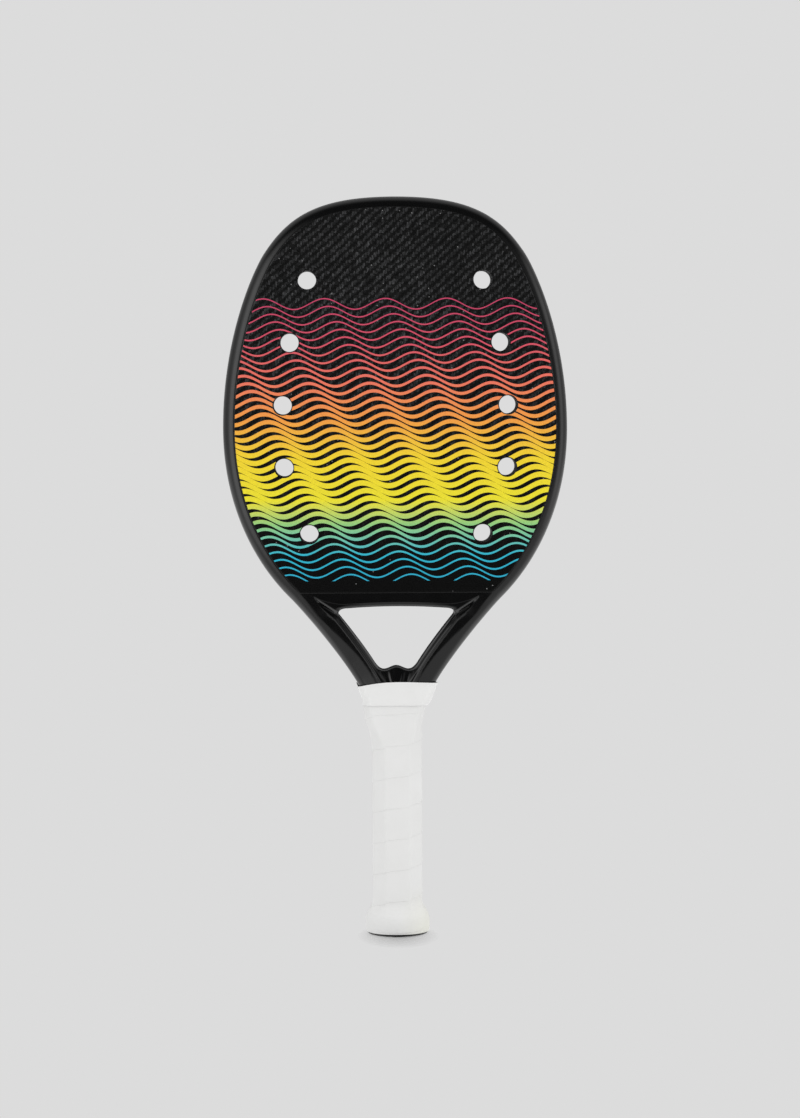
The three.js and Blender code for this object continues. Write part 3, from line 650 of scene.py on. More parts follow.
# Where the weave and its painted sheen start to show, and where they are all there
WEAVE_SHOWS = (0.25, 0.40)
WEAVE_WANDER = 0.0006
SPECK_SCALE = 260


def face_weave():
    """A two by two twill under lacquer: strands over and under, with painted sheen in the colour: strands
    running up lighter than those across, each tow lighter at its crown, by a sheen of its own and in slow
    clouds.
    """
    look = Look("face_weave")
    sideways = look.mottle(330, 2, -WEAVE_WANDER, WEAVE_WANDER)
    upwards = look.mottle(290, 2, -WEAVE_WANDER, WEAVE_WANDER)
    lean = look.math("MULTIPLY", look.z, TOW_LEAN)
    leaning = look.math("SUBTRACT", look.math("ADD", look.x, sideways), lean)
    across = look.math("DIVIDE", leaning, TOW_ACROSS)
    up = look.math("DIVIDE", look.math("ADD", look.z, upwards), TOW_UP)
    column = look.math("FLOOR", across)
    step = look.math("SUBTRACT", column, look.math("FLOOR", up))
    over = look.math("LESS_THAN", look.math("FLOORED_MODULO", step, 4.0), 1.5)
    round_across = look.math("PINGPONG", across, 0.5)
    round_up = look.math("PINGPONG", up, 0.5)
    height = look.blend(over, round_up, round_across)
    strands_up = look.noise(1, 2, 0.65, look.stretch(3000, 200, 330))
    strands_across = look.noise(1, 2, 0.65, look.stretch(330, 200, 3000))
    strands = look.remap(look.blend(over, strands_across, strands_up), 0.38, 0.64)
    # Painted highlight: each tow lighter at its crown and darker towards its edges
    crown_highlight = look.remap(height, 0.0, 0.34, 0.45, 1.0)
    row = look.math("FLOOR", look.math("DIVIDE", look.math("ADD", up, column), 2.0))
    own_cell = look.fed("ShaderNodeCombineXYZ", {0: column, 1: row})
    random = look.fed("ShaderNodeTexWhiteNoise", {"Vector": own_cell.outputs[0]})
    # Painted sheen that differs from tow to tow
    tow_sheen = look.remap(random.outputs[0], 0.0, 1.0, 0.15, 1.3)
    # Slow clouds of painted sheen
    sheen_cloud = look.remap(look.noise(11, 3), 0.35, 0.65, 0.55, 1.0)
    painted_sheen = look.product(strands, crown_highlight, tow_sheen, sheen_cloud)
    shows = look.remap(look.z, *WEAVE_SHOWS)
    # Painted sheen in the colour: strands running up light, strands across darker
    sheen_up_colour = look.mix(painted_sheen, grey(0.0045), (0.085, 0.086, 0.089, 1))
    sheen_across_colour = look.mix(painted_sheen, grey(0.0035), grey(0.014))
    woven = look.mix(over, sheen_across_colour, sheen_up_colour)
    tone = look.mix(shows, grey(0.0024), woven)
    distance, chance = look.voronoi(SPECK_SCALE)
    speck = look.product(look.math("GREATER_THAN", chance, 0.86), look.math("LESS_THAN", distance, 0.11))
    base = look.mix(look.math("MULTIPLY", speck, 0.5), tone, grey(0.35))
    weave = look.bump(look.product(height, shows), 0.00005, 0.5)
    grit = look.grain(420, 2, 0.00004, 0.5, weave)
    roughness = look.remap(strands, 0, 1, 0.24, 0.18)
    return look.finish(base, roughness, grit)


INK_STOPS = (
    (0.0, (0.010, 0.42, 0.62, 1)),
    (0.09, (0.012, 0.50, 0.66, 1)),
    (0.20, (0.30, 0.66, 0.22, 1)),
    (0.29, (0.92, 0.82, 0.012, 1)),
    (0.44, (0.98, 0.72, 0.012, 1)),
    (0.58, (0.98, 0.36, 0.045, 1)),
    (0.72, (0.92, 0.18, 0.11, 1)),
    (0.86, (0.74, 0.075, 0.13, 1)),
    (1.0, (0.60, 0.045, 0.13, 1)),
)


def face_ink():
    look = Look("face_ink")
    height = look.remap(look.z, WAVE_BOTTOM, WAVE_TOP)
    colour = look.ramp(height, INK_STOPS)
    worn = look.remap(look.noise(1300, 3), 0.3, 0.75, 0.0, 0.16)
    base = look.mix(worn, colour, grey(0.02))
    return look.finish(base, look.mottle(300, 2, 0.42, 0.52), look.grain(1500, 2, 0.00004, 0.5))


def wrap_skin():
    look = Look("wrap_skin")
    tone = look.mix(look.noise(55, 4), (0.775, 0.775, 0.765, 1), (0.84, 0.84, 0.835, 1))
    low = look.remap(look.z, 0.004, 0.034, 1.0, 0.0)
    right = look.remap(look.x, 0.0, 0.02)
    base = look.mix(look.product(low, right, 0.5), tone, (0.80, 0.80, 0.66, 1))
    pebble = look.grain(1700, 3, 0.00005, 0.5)
    soft = look.grain(160, 3, 0.0003, 0.35, pebble)
    return look.finish(base, look.mottle(240, 3, 0.56, 0.7), soft, Sheen_Weight=0.15)


def tape_skin():
    look = Look("tape_skin")
    base = look.mix(look.noise(60, 3), (0.80, 0.80, 0.79, 1), (0.86, 0.86, 0.855, 1))
    ripple = look.bump(look.noise(1, 3, 0.5, look.stretch(60, 60, 700)), 0.00015, 0.4)
    return look.finish(base, look.mottle(150, 2, 0.36, 0.48), ripple)


def moulded(name, dark, light, low_rough, high_rough, grain, depth):
    look = Look(name)
    base = look.mix(look.noise(grain / 9, 3), dark, light)
    roughness = look.mottle(grain / 4, 3, low_rough, high_rough)
    return look.finish(base, roughness, look.grain(grain, 3, depth, 0.6))


def drawn_wire():
    look = Look("drawn_wire")
    lines = look.noise(1, 2, 0.6, look.stretch(300, 4000, 4000))
    base = look.mix(lines, grey(0.5), grey(0.68))
    return look.finish(base, look.remap(lines, 0.3, 0.7, 0.25, 0.4), look.bump(lines, 0.00001), Metallic=1.0)


PAINT = frame_paint()
WEAVE = face_weave()
INK = face_ink()
WRAP = wrap_skin()
TAPE = tape_skin()
FOAM = moulded("eva_foam", grey(0.012), grey(0.022), 0.75, 0.9, 1800, 0.00012)
PALLET = moulded("pallet_foam", grey(0.045), grey(0.06), 0.55, 0.7, 900, 0.00008)
LID = moulded("lid_plastic", grey(0.007), grey(0.011), 0.42, 0.55, 1600, 0.00003)
CUSHION = moulded("cushion", grey(0.024), grey(0.036), 0.6, 0.8, 1200, 0.00012)
END_TAPE = moulded("end_tape", grey(0.012), grey(0.017), 0.4, 0.5, 700, 0.00003)
WIRE = drawn_wire()


# Frame shell: the head's rim, the arms and the bridge, as one moulding

CORNER = inset_half(ARM_WIDTH)[CORNER_STATION]
CREASE_TIP = np.array((CORNER[0] + TIP_RUN, CORNER_HEIGHT + TIP_RISE))


def throat_half():
    """From the middle of the arch to the middle of the yoke: points of the wall and of the crease."""
    arch_end = CORNER[0] - CORNER_RUN
    arch_z = THROAT_TOP - ARCH_DROP
    pairs = []
    for x in np.linspace(0, arch_end, ARCH_STEPS, endpoint=False):
        share = x / arch_end
        z = THROAT_TOP - ARCH_DROP * share ** 2
        pairs.append(((x, z), (x + ARCH_CREASE_WIDTH * share ** 2, z + ARCH_CREASE_WIDTH)))
    pairs += corner_pairs(arch_end, arch_z)
    wall_at = inset_half(ARM_WIDTH)
    crease_at = inset_half(ARM_WIDTH - CREASE_WIDTH)
    for i in range(CORNER_STATION - 1, -1, -1):
        if wall_at[i][1] < YOKE_FILLET_TOP:
            break
        pairs.append((tuple(wall_at[i]), tuple(crease_at[i])))
    pairs += yoke_pairs(wall_at[i], wall_at[i + 1], crease_at[:i + 1])
    return np.array([wall for wall, _ in pairs]), np.array([crease for _, crease in pairs])


def corner_pairs(arch_end, arch_z):
    """The rounded upper corner, whose crease runs out to a pointed tip."""
    fillet = [np.array(p) for p in ((arch_end, arch_z), (CORNER[0] + CORNER_REACH, arch_z), CORNER)]
    arch_crease = np.array((arch_end + ARCH_CREASE_WIDTH, arch_z + ARCH_CREASE_WIDTH))
    arm_crease = inset_half(ARM_WIDTH - CREASE_WIDTH)[CORNER_STATION]
    arch_bend = arch_crease + (CREASE_TIP - arch_crease) * ARCH_TIP_SHARES
    arm_bend = arm_crease + (CREASE_TIP - arm_crease) * ARM_TIP_SHARES
    pairs = []
    for t in np.linspace(0, 1, CORNER_STEPS + 1):
        if t <= 0.5:
            crease = past(arch_crease, arch_bend, CREASE_TIP, 2 * t)
        else:
            crease = past(CREASE_TIP, arm_bend, arm_crease, 2 * t - 1)
        pairs.append((tuple(through(fillet, t)), tuple(crease)))
    return pairs


def yoke_pairs(start, above, crease):
    """From the foot of an arm's wall, round the fillet to the middle of the hump."""
    slope = (above[1] - start[1]) / (above[0] - start[0])
    bend = start[0] - (start[1] - YOKE_VALLEY) / slope
    fillet = [np.array(p) for p in (start, (bend, YOKE_VALLEY), (YOKE_VALLEY_HALF, YOKE_VALLEY))]
    heights = crease[:, 1]
    pairs = []
    for t in np.linspace(0, 1, FILLET_STEPS + 1):
        z = lerp(heights[-1], YOKE_ROOT, t ** 1.3)
        root = (float(np.interp(z, heights, crease[:, 0])), z)
        pairs.append((tuple(through(fillet, t)), root))
    root_half = pairs[-1][1][0]
    for x in np.linspace(YOKE_VALLEY_HALF, 0, YOKE_STEPS + 1)[1:]:
        share = x / YOKE_VALLEY_HALF
        z = YOKE_VALLEY + YOKE_RISE * (0.5 + 0.5 * math.cos(math.pi * share))
        pairs.append(((x, z), (root_half * share, YOKE_ROOT)))
    return pairs


def through(points, t):
    a, b, c = points
    return a * (1 - t) ** 2 + 2 * b * t * (1 - t) + c * t * t


def past(start, middle, end, t):
    """A curve that passes its middle point half way."""
    return through((start, 2 * middle - (start + end) / 2, end), t)


def rim_band(shell):
    """The round edge and the rim, from the middle plane in to the face's inset."""
    whole = np.ones(len(edge_at))
    half_rows = [(whole * 0, whole * 0)]
    for turn in np.radians(np.linspace(90, 0, EDGE_ROWS)):
        at = whole * (SKIN_INSET - RIM_ROWS_GAP) * (1 - math.sin(turn))
        half_rows.append((at, surface_depth(at, edge_at[:, 1])))
    groove = GROOVE_DEPTH * smooth((inset_half(SKIN_INSET)[:, 1] - SKIN_BOTTOM) / GROOVE_RUN)
    for back, drop in GROOVE_ROWS:
        at = whole * (SKIN_INSET - back)
        half_rows.append((at, surface_depth(at, edge_at[:, 1]) - groove * drop))
    loops = []
    for at, depth in half_rows:
        flat = edge_at + edge_in * at[:, None]
        flat[-1, 0] = 0
        half = np.column_stack((flat[:, 0], -depth, flat[:, 1]))
        loops.append(mirror_x(half))
    shell.rows(loops)
    return loops[-1]


def bevel_rows(wall, crease):
    """Rows of the throat's bevel and wall, from the crease to the middle plane."""
    start = surface_depth(*from_outline(crease))
    way = wall - crease
    length = sizes(way)
    way /= length[:, None]
    ridged = (crease[:, 1] < GRIP_LENGTH) | (wall[:, 1] < YOKE_FILLET_TOP)
    rows = []

    def row(reach, extra=0.0):
        flat = crease + way * reach[:, None]
        done = reach / length
        along, below = from_step(flat)
        arm = ARM_DROP * done ** ARM_BEVEL_POWER
        # the step's own drop fades out at its tip, well below it and towards the wall
        kept = smooth(along / STEP_START) * (1 - smooth((below - STEP_WIDTH) / STEP_FADE))
        near_crease = np.maximum(0, 1 - 2 * done ** ARM_BEVEL_POWER)
        arm = arm + STEP_DROP * (kept * near_crease * smooth(reach / STEP_RISE)) * ~ridged
        arch = ARCH_DROP_DEPTH * np.clip(1 - (length - reach) / ARCH_CREASE_WIDTH, 0, 1) ** ARCH_BEVEL_POWER
        ramp = np.clip(below / STEP_WIDTH, 0, 1)
        drop = lerp(arch, arm, lerp(ramp, smooth(ramp), STEP_SOFT_SHARE)) + extra
        fade = smooth((length - reach) / RIDGE_FADE) * smooth(reach / RIDGE_FADE) * ridged
        drop = drop - ridge_height(flat) * fade - bead_height(flat)
        rows.append(np.column_stack((flat[:, 0], -(start - drop), flat[:, 1])))

    whole = np.ones(len(crease))
    for reach in (0, *BEAD_ROWS):
        row(whole * reach)
    body = length - BEAD_ROWS[-1] - WALL_ROUND
    for share in np.linspace(0, 1, 12)[1:]:
        row(BEAD_ROWS[-1] + body * share)
    for turn in np.radians((25, 48, 68, 90)):
        row(length - WALL_ROUND * (1 - math.sin(turn)), WALL_ROUND * (1 - math.cos(turn)))
    end = rows[-1].copy()
    for share in (0.5, 0):
        flat = end.copy()
        flat[:, 1] = end[:, 1] * share
        rows.append(flat)
    return rows


def ridge_height(flat):
    """Height of the yoke's fan of narrow ridges."""
    across = np.abs(flat[:, 0])
    up = flat[:, 1] - RIDGE_CENTRE
    total = np.zeros(len(flat))
    for lean, half_width, height in RIDGES:
        off = across * math.cos(lean) - up * math.sin(lean)
        total += height * np.exp(-(off / half_width) ** 2)
    return total * smooth((up + RIDGE_START) / RIDGE_RISE)


def bead_height(flat):
    """Height of the bead that runs along the crease."""
    start = crease_line[:-1]
    along = crease_line[1:] - start
    size = np.maximum(np.sum(along * along, axis=1), 1e-14)
    heights = []
    for point in flat:
        share = np.clip(np.sum((point - start) * along, axis=1) / size, 0, 1)
        gap = np.min(sizes(start + along * share[:, None] - point))
        arch = lerp(1, ARCH_BEAD_SHARE, smooth((point[1] - CORNER_HEIGHT - ARCH_BEAD_START) / ARCH_BEAD_RUN))
        heights.append(BEAD_HEIGHT * arch * max(0.0, 1 - (gap / BEAD_WIDTH) ** 2) ** 2)
    return np.array(heights)


def from_step(flat):
    """How far points lie along the step from the crease's tip, and how far below its upper edge."""
    way = np.array(STEP_END) - CREASE_TIP
    way /= np.linalg.norm(way)
    away = np.column_stack((np.abs(flat[:, 0]), flat[:, 1])) - CREASE_TIP
    return away @ way, away @ (-way[1], way[0])


wall_line, crease_line = (mirror_x(half[::-1]) for half in throat_half())


def make_frame_shell():
    shell = Shell()
    inner = rim_band(shell)
    wall, crease = wall_line, crease_line
    shell.rows(bevel_rows(wall, crease))
    right = inset_half(SKIN_INSET)[:SKIN_STATION + 1]
    left = right * (-1, 1)
    bottom = [(x, SKIN_BOTTOM) for x in np.linspace(-right[-1][0], right[-1][0], 70)]
    # the region's edge: up the right side, along the face's bottom edge, down the left side, and
    # back along the crease
    edge = [*map(tuple, right), *bottom[::-1][1:-1], *map(tuple, left[::-1]), *map(tuple, crease[::-1])]
    outward = crease - wall
    outward /= sizes(outward)[:, None]
    inside = []
    for out in BEAD_ROWS:
        spread_in(inside, crease + outward * out, edge, BEAD_GAP, BEAD_GAP)
    for inset in FACET_INSETS:
        half = inset_half(inset)[1:CORNER_STATION + 4]
        spread_in(inside, [*half, *(half * (-1, 1))], edge, FACET_GAP, FACET_GAP)
    step_x, step_z = BRIDGE_STEPS
    for z in np.arange(THROAT_TOP + BRIDGE_LOW, SKIN_BOTTOM - BRIDGE_HIGH, step_z):
        limit = BRIDGE_HALF + (z - THROAT_TOP)
        row = [(x, z) for x in np.arange(-BRIDGE_REACH, BRIDGE_REACH, step_x) if abs(x) < limit]
        spread_in(inside, row, edge, *BRIDGE_GAPS)

    def depth(x, z):
        point = np.array([(x, z)])
        return float((surface_depth(*from_outline(point)) + bead_height(point))[0])

    shell.fill([edge], depth, inside)
    floor = [(x, -depth(x, z), z) for x, z in bottom]
    shell.rows([floor, [(x, 0, z) for x, _, z in floor]])
    above = inner[SKIN_STATION:len(inner) - SKIN_STATION]
    shell.rows([above, [(x, 0, z) for x, _, z in above]])
    shell.mirror_depth()
    nodes = ("frame_tube", "throat_bridge", "throat_yoke")
    shell.build("frame_shell", PAINT, "carbon_frame", *nodes, close=True)


def spread_in(inside, points, edge, edge_gap, gap):
    """Adds the points that keep clear of the region's edge and of the points already there."""
    ring = np.asarray(edge)
    for point in points:
        clear = np.min(sizes(ring - point)) > edge_gap
        if clear and (not inside or np.min(sizes(np.asarray(inside) - point)) > gap):
            inside.append((float(point[0]), float(point[1])))


make_frame_shell()


# Legs inside the handle

def leg_ring(side, z, grow):
    outer = float(np.interp(z, (LEG_TOP, FOOT_HEIGHT), (LEG_HALF_SPAN, outline_width(FOOT_HEIGHT))))
    deep = LEG_HALF_DEPTH - grow
    left, right = LEG_GAP + grow, outer - grow
    ring = []
    for cx, cy, start in ((right, deep, 0), (left, deep, 90), (left, -deep, 180), (right, -deep, 270)):
        for turn in np.linspace(0, 90, 5):
            angle = math.radians(start + turn)
            x = cx - math.copysign(LEG_ROUND, cx - (left + right) / 2) + LEG_ROUND * math.cos(angle)
            y = cy - math.copysign(LEG_ROUND, cy) + LEG_ROUND * math.sin(angle)
            ring.append((side * x, y, z))
    return ring


def make_leg(side, name):
    shell = Shell()
    heights = (*LEG_HEIGHTS, LEG_TOP, FOOT_HEIGHT - LEG_GAP)
    rings = [leg_ring(side, z, 0) for z in heights]
    rings += [leg_ring(side, z, LEG_WALL) for z in reversed(heights)]
    rings.append(rings[0])
    shell.rows([[*ring, ring[0]] for ring in rings])
    shell.build(name, PAINT, "carbon_frame", "frame_tube")


for hand, side in (("right", 1), ("left", -1)):
    make_leg(side, f"handle_leg_{hand}")


# Face skins and core

def holes_2d(grow):
    loops = []
    for across, up in HOLE_SHARES:
        for side in (-1, 1):
            x, z = side * across * HEAD_HALF_WIDTH, GRIP_LENGTH + up * HEAD_LENGTH
            loops.append(ring_of(HOLE_RADIUS + grow, HOLE_SIDES, x, z))
    return loops


def face_outline(inset, bottom, first):
    """The loop inside an inset of the outline and above a height, from a station on."""
    half = inset_half(inset)
    half[-1, 0] = 0
    corner = (float(np.interp(bottom, half[:, 1], half[:, 0])), bottom)
    return [tuple(point) for point in mirror_x([corner, *half[first:]])]


def first_above(inset, height):
    """The first station whose point at this inset lies well above this height."""
    return int(np.argmax(inset_half(inset)[:, 1] > height + STATION_CLEAR))


def plate_shell(rows, inset, bottom, side):
    """A plate with ball holes. Each row says how far in from its edges it lies, and its depth."""
    shell = Shell()
    most = max(back for back, _ in rows)
    first = first_above(inset + most, bottom + most)
    level = [[face_outline(inset + back, bottom + back, first), *holes_2d(back)] for back, _ in rows]
    for k in range(len(level[0])):
        rings = []
        for ring_loops, (_, depth) in zip(level, rows):
            rings.append([(x, side * depth(x, z), z) for x, z in ring_loops[k]])
        shell.rows(rings, closed=True)
    for (_, depth), ring_loops in ((rows[0], level[0]), (rows[-1], level[-1])):
        shell.fill(ring_loops, lambda x, z, depth=depth: -side * depth(x, z))
    return shell


def level_at(depth):
    return lambda x, z: depth


def below_front(drop):
    """The depth of a surface that follows the frame's front, this far below it."""
    return lambda x, z: float(surface_depth(*from_outline([(x, z)]))[0]) - drop


# How far in from a face's edges each row lies, and how far the edge is worn off there
FACE_EDGE_ROWS = (
    (0.0022, 0), (0.0013, 0), (0.0006, 0), (0.00012, 0), (0.00004, 0.00002), (0, 0.00005),
)


def make_face(side, name, node):
    rows = [(back, below_front(drop)) for back, drop in FACE_EDGE_ROWS]
    rows.append((0, level_at(HALF_DEPTH - SKIN_THICKNESS)))
    shell = plate_shell(rows, SKIN_INSET + GROOVE_GAP, SKIN_BOTTOM + GROOVE_GAP, side)
    shell.build(name, WEAVE, "face_weave", node)


for end, side in (("front", -1), ("rear", 1)):
    make_face(side, f"{end}_face", f"{end}_face_skin")


def make_core():
    rows = ((0, level_at(CORE_HALF_DEPTH)), (0, level_at(-CORE_HALF_DEPTH)))
    shell = plate_shell(rows, CORE_INSET, CORE_BOTTOM, 1)
    shell.build("core_block", FOAM, "core_foam", "foam_core")


make_core()


# Printed waves

def wave_loops():
    limit = HEAD_HALF_WIDTH + WAVE_OVERRUN
    xs = np.arange(-limit, limit, WAVE_STEP)
    count = int((WAVE_TOP - WAVE_BOTTOM) / WAVE_SPACING)
    loops = []
    for k in range(count + 1):
        share = k / count
        centre = lerp(WAVE_BOTTOM, WAVE_TOP, share)
        phase = WAVE_PHASE_STEP * k
        mid = centre + WAVE_HEIGHT * np.sin(2 * math.pi * xs / WAVE_LENGTH + phase)
        half = at_height(WAVE_WIDTH_ROWS, share) / 2
        low = list(zip(xs, mid - half))
        high = list(zip(xs, mid + half))
        loops.append(low + high[::-1])
    return loops


def make_print(side, name):
    inset, bottom = SKIN_INSET + INK_MARGIN, SKIN_BOTTOM + INK_LIFT
    bound = [face_outline(inset, bottom, first_above(inset, bottom))]
    holes = holes_2d(INK_HOLE_GAP)
    at, triangles = triangulate([*bound, *holes, *wave_loops()])
    first_wave = 1 + len(holes)
    shell = Shell()
    places = [(x, below_front(0)(x, z), z) for x, z in at]
    front = shell.add([(x, side * (y + INK_THICKNESS), z) for x, y, z in places])
    back = shell.add([(x, side * (y + INK_THICKNESS / 8), z) for x, y, z in places])
    counts = {}
    for triangle, origin in triangles:
        inked = 0 in origin and not any(1 <= i < first_wave for i in origin)
        if inked and any(i >= first_wave for i in origin):
            shell.faces.append(tuple(front[i] for i in triangle))
            shell.faces.append(tuple(back[i] for i in reversed(triangle)))
            for a, b in zip(triangle, (*triangle[1:], triangle[0])):
                counts[(a, b)] = counts.get((a, b), 0) + 1
    for a, b in counts:
        if (b, a) not in counts:
            shell.faces.append((front[b], front[a], back[a], back[b]))
    shell.build(name, INK, "face_print", sharp=30, weighted=False)


for end, side in (("front", -1), ("rear", 1)):
    make_print(side, f"{end}_print")


# Grip

def carrier(z):
    """Half width, half depth and corner cuts of what the grip is wound on, softened along Z."""
    total = np.zeros(4)
    shifts = np.linspace(-1, 1, 5) * FLARE_BLUR
    for shift in shifts:
        at = z + shift
        row = np.array([at_height(GRIP_ROWS, at, column) for column in (1, 2, 3, 4)])
        if at > PALLET_TOP:
            row[0] = max(row[0], outline_width(at)) + at_height(NECK_ROWS, at)
        total += row
    return total / len(shifts)


def grip_ring(z, offset):
    """A rounded octagon with the same number of points at every height."""
    width, depth, cut_x, cut_y = carrier(z)
    radius = at_height(CORNER_ROWS, z)
    spread = offset * math.tan(math.pi / 8)
    half_x, half_y = width + offset, depth + offset
    flat_x, flat_y = width - cut_x + spread, depth - cut_y + spread
    corners = [
        (flat_x, -half_y), (half_x, -flat_y), (half_x, flat_y), (flat_x, half_y),
        (-flat_x, half_y), (-half_x, flat_y), (-half_x, -flat_y), (-flat_x, -half_y),
    ]
    corners = [np.array(corner) for corner in corners]
    arcs = []
    for i, corner in enumerate(corners):
        before = corners[i - 1]
        after = corners[(i + 1) % 8]
        into = (before - corner) / np.linalg.norm(before - corner)
        out = (after - corner) / np.linalg.norm(after - corner)
        room = min(np.linalg.norm(before - corner), np.linalg.norm(after - corner)) * 0.48
        cut = min(radius * math.tan(math.pi / 8), room)
        start, end = corner + into * cut, corner + out * cut
        arcs.append([through((start, corner, end), t) for t in np.linspace(0, 1, GRIP_CORNER_POINTS)])
    ring = []
    for i, arc in enumerate(arcs):
        ring += arc
        following = arcs[(i + 1) % 8][0]
        for t in np.linspace(0, 1, GRIP_EDGE_POINTS + 2)[1:-1]:
            ring.append(lerp(arc[-1], following, t))
    ring = np.array(ring)
    rounded = BUTT_ROUND_SHARE * (1 - rise(z, *BUTT_ROUND_ROWS))
    to_ellipse = 1 / sizes(ring / (half_x, half_y))[:, None]
    return ring * lerp(1, to_ellipse, rounded) - (at_height(LEAN_ROWS, z), 0)


SIDES = len(grip_ring(0.05, 0))


class RingTable:
    """Grip rings worked out at even steps of height and read between them."""

    def __init__(self, offset_at):
        self.heights = np.arange(0.0, TABLE_TOP, TABLE_STEP)
        self.rings = np.array([grip_ring(z, offset_at(z)) for z in self.heights])

    def point(self, column, z):
        place = z / TABLE_STEP
        low = int(min(max(math.floor(place), 0), len(self.heights) - 2))
        return lerp(self.rings[low, column], self.rings[low + 1, column], min(max(place - low, 0), 1))

    def ring(self, z, grow=0.0):
        """The ring at a height, drawn in or out from the handle's axis."""
        points = np.array([self.point(i, z) for i in range(SIDES)])
        return points * (1 + grow / sizes(points)[:, None])


def closed_sleeve(outer_rows, inner_rows):
    shell = Shell()
    rings = [*outer_rows, *inner_rows, outer_rows[0]]
    shell.rows([[*ring, ring[0]] for ring in rings])
    return shell


def at_z(ring, z):
    return [(x, y, z) for x, y in ring]


def overgrip_offset(z):
    return float(at_height(OVERGRIP_ROWS, z)) + OVERGRIP_THICKNESS


wrap_table = RingTable(overgrip_offset)
WRAP_SHARES = (0, 0.012, 0.03, 0.07, 0.14, 0.24, 0.35, 0.46, 0.57, 0.68, 0.79, 0.89, 0.96, 0.995)


def wrap_drop(share):
    """How far the wound tape lies below its full thickness at a share of a turn."""
    run, height = WRAP_LIP_SHARES
    lip = max(0.0, 1 - share / run) ** 2
    return WRAP_STEP * (share ** 1.3) + WRAP_STEP * height * lip


def crumple(x, y, z):
    """Small unevenness of a tape wound by hand."""
    wide = noise.noise((x * 70, y * 70, z * 45))
    fine = noise.noise((x * 210 + 5, y * 210, z * 120))
    return CRUMPLE_WIDE * wide + CRUMPLE_FINE * fine


def make_overgrip():
    shell = Shell()
    turns = int((WRAP_HIGH - WRAP_START) / WRAP_PITCH) + 3
    grid = []
    for k in range(-2, turns):
        for share in WRAP_SHARES:
            row = []
            for i in range(SIDES + 1):
                wound = WRAP_START + WRAP_PITCH * (k + share + i / SIDES - WRAP_LAG_TURNS)
                z = min(max(wound, WRAP_LOW), WRAP_HIGH)
                x, y = wrap_table.point(i % SIDES, z)
                flange = smooth((z - WRAP_STEP_ROWS[0]) / WRAP_STEP_ROWS[1])
                shown = smooth((z - WRAP_CRUMPLE_ROWS[0]) / WRAP_CRUMPLE_ROWS[1])
                loose = crumple(x, y, z) * float(shown)
                drop = wrap_drop(share) * float(lerp(0.35, 1, flange)) - loose if z == wound else 0
                drop += WRAP_TURN * float(1 - smooth((z - WRAP_LOW) / WRAP_TURN_RUN))
                row.append((*outwards(x, y, -drop), z))
            grid.append(row)
    per_turn = len(WRAP_SHARES)
    indices = [shell.add(row[:SIDES]) for row in grid]
    for r in range(len(grid) - 1):
        for i in range(SIDES):
            if i + 1 < SIDES:
                near, far = indices[r][i + 1], indices[r + 1][i + 1]
            elif r + 1 + per_turn < len(grid):
                near, far = indices[r + per_turn][0], indices[r + 1 + per_turn][0]
            else:
                continue
            shell.faces.append((indices[r][i], near, far, indices[r + 1][i]))
    inner = [at_z([outwards(x, y, -WRAP_TURN) for x, y in wrap_table.ring(WRAP_LOW)], WRAP_LOW)]
    for z in (WRAP_LOW, *WRAP_INNER_HEIGHTS, WRAP_HIGH):
        ring = wrap_table.ring(z, -OVERGRIP_THICKNESS - WRAP_GAPS[z > WRAP_INNER_HEIGHTS[0]])
        inner.append(at_z(ring, z))
    inner.append(at_z(wrap_table.ring(WRAP_HIGH), WRAP_HIGH))
    shell.rows([[*ring, ring[0]] for ring in inner])
    shell.build("overgrip_wrap", WRAP, "overgrip", "overgrip", sharp=50)


make_overgrip()


def make_cushion():
    table = RingTable(lambda z: float(at_height(CUSHION_ROWS, z)) + CUSHION_GAP)
    low, high = (corner.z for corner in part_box("base_grip"))
    heights = np.concatenate((np.linspace(low, CUSHION_FLARE_TOP, 14), np.linspace(CUSHION_STEM, high, 50)))
    outer = [at_z(table.ring(z, -CUSHION_GAP), z) for z in heights]
    inner = [at_z(table.ring(z, -float(at_height(CUSHION_ROWS, z))), z) for z in reversed(heights)]
    shell = closed_sleeve(outer, inner)
    piece = shell.build("cushion_grip", CUSHION, "cushion", "base_grip")


make_cushion()


# Finishing tape

def tape_top(x, y):
    """The tape's upper edge: a little lower on the left, and arched over the fork."""
    left, right = max(0.0, -x / TAPE_EDGE_HALF), max(0.0, x / TAPE_EDGE_HALF)
    edge = TAPE_EDGE_TOP - TAPE_LEFT_FALL * left ** 2 - TAPE_RIGHT_FALL * right ** 2
    return edge if y < 0 else TAPE_REAR_TOP


def hug(x, y, z):
    """Draws a point of the tape in to the frame's own section, near the tape's upper edge."""
    inset = outline_width(z) + at_height(TAPE_ROWS, z) - abs(x)
    close = float(surface_depth(max(inset, 0.0), z)) + TAPE_CLEAR
    pull = float(rise(z, *TAPE_HUG_ROWS))
    return x, math.copysign(lerp(abs(y), min(abs(y), close), pull), y)


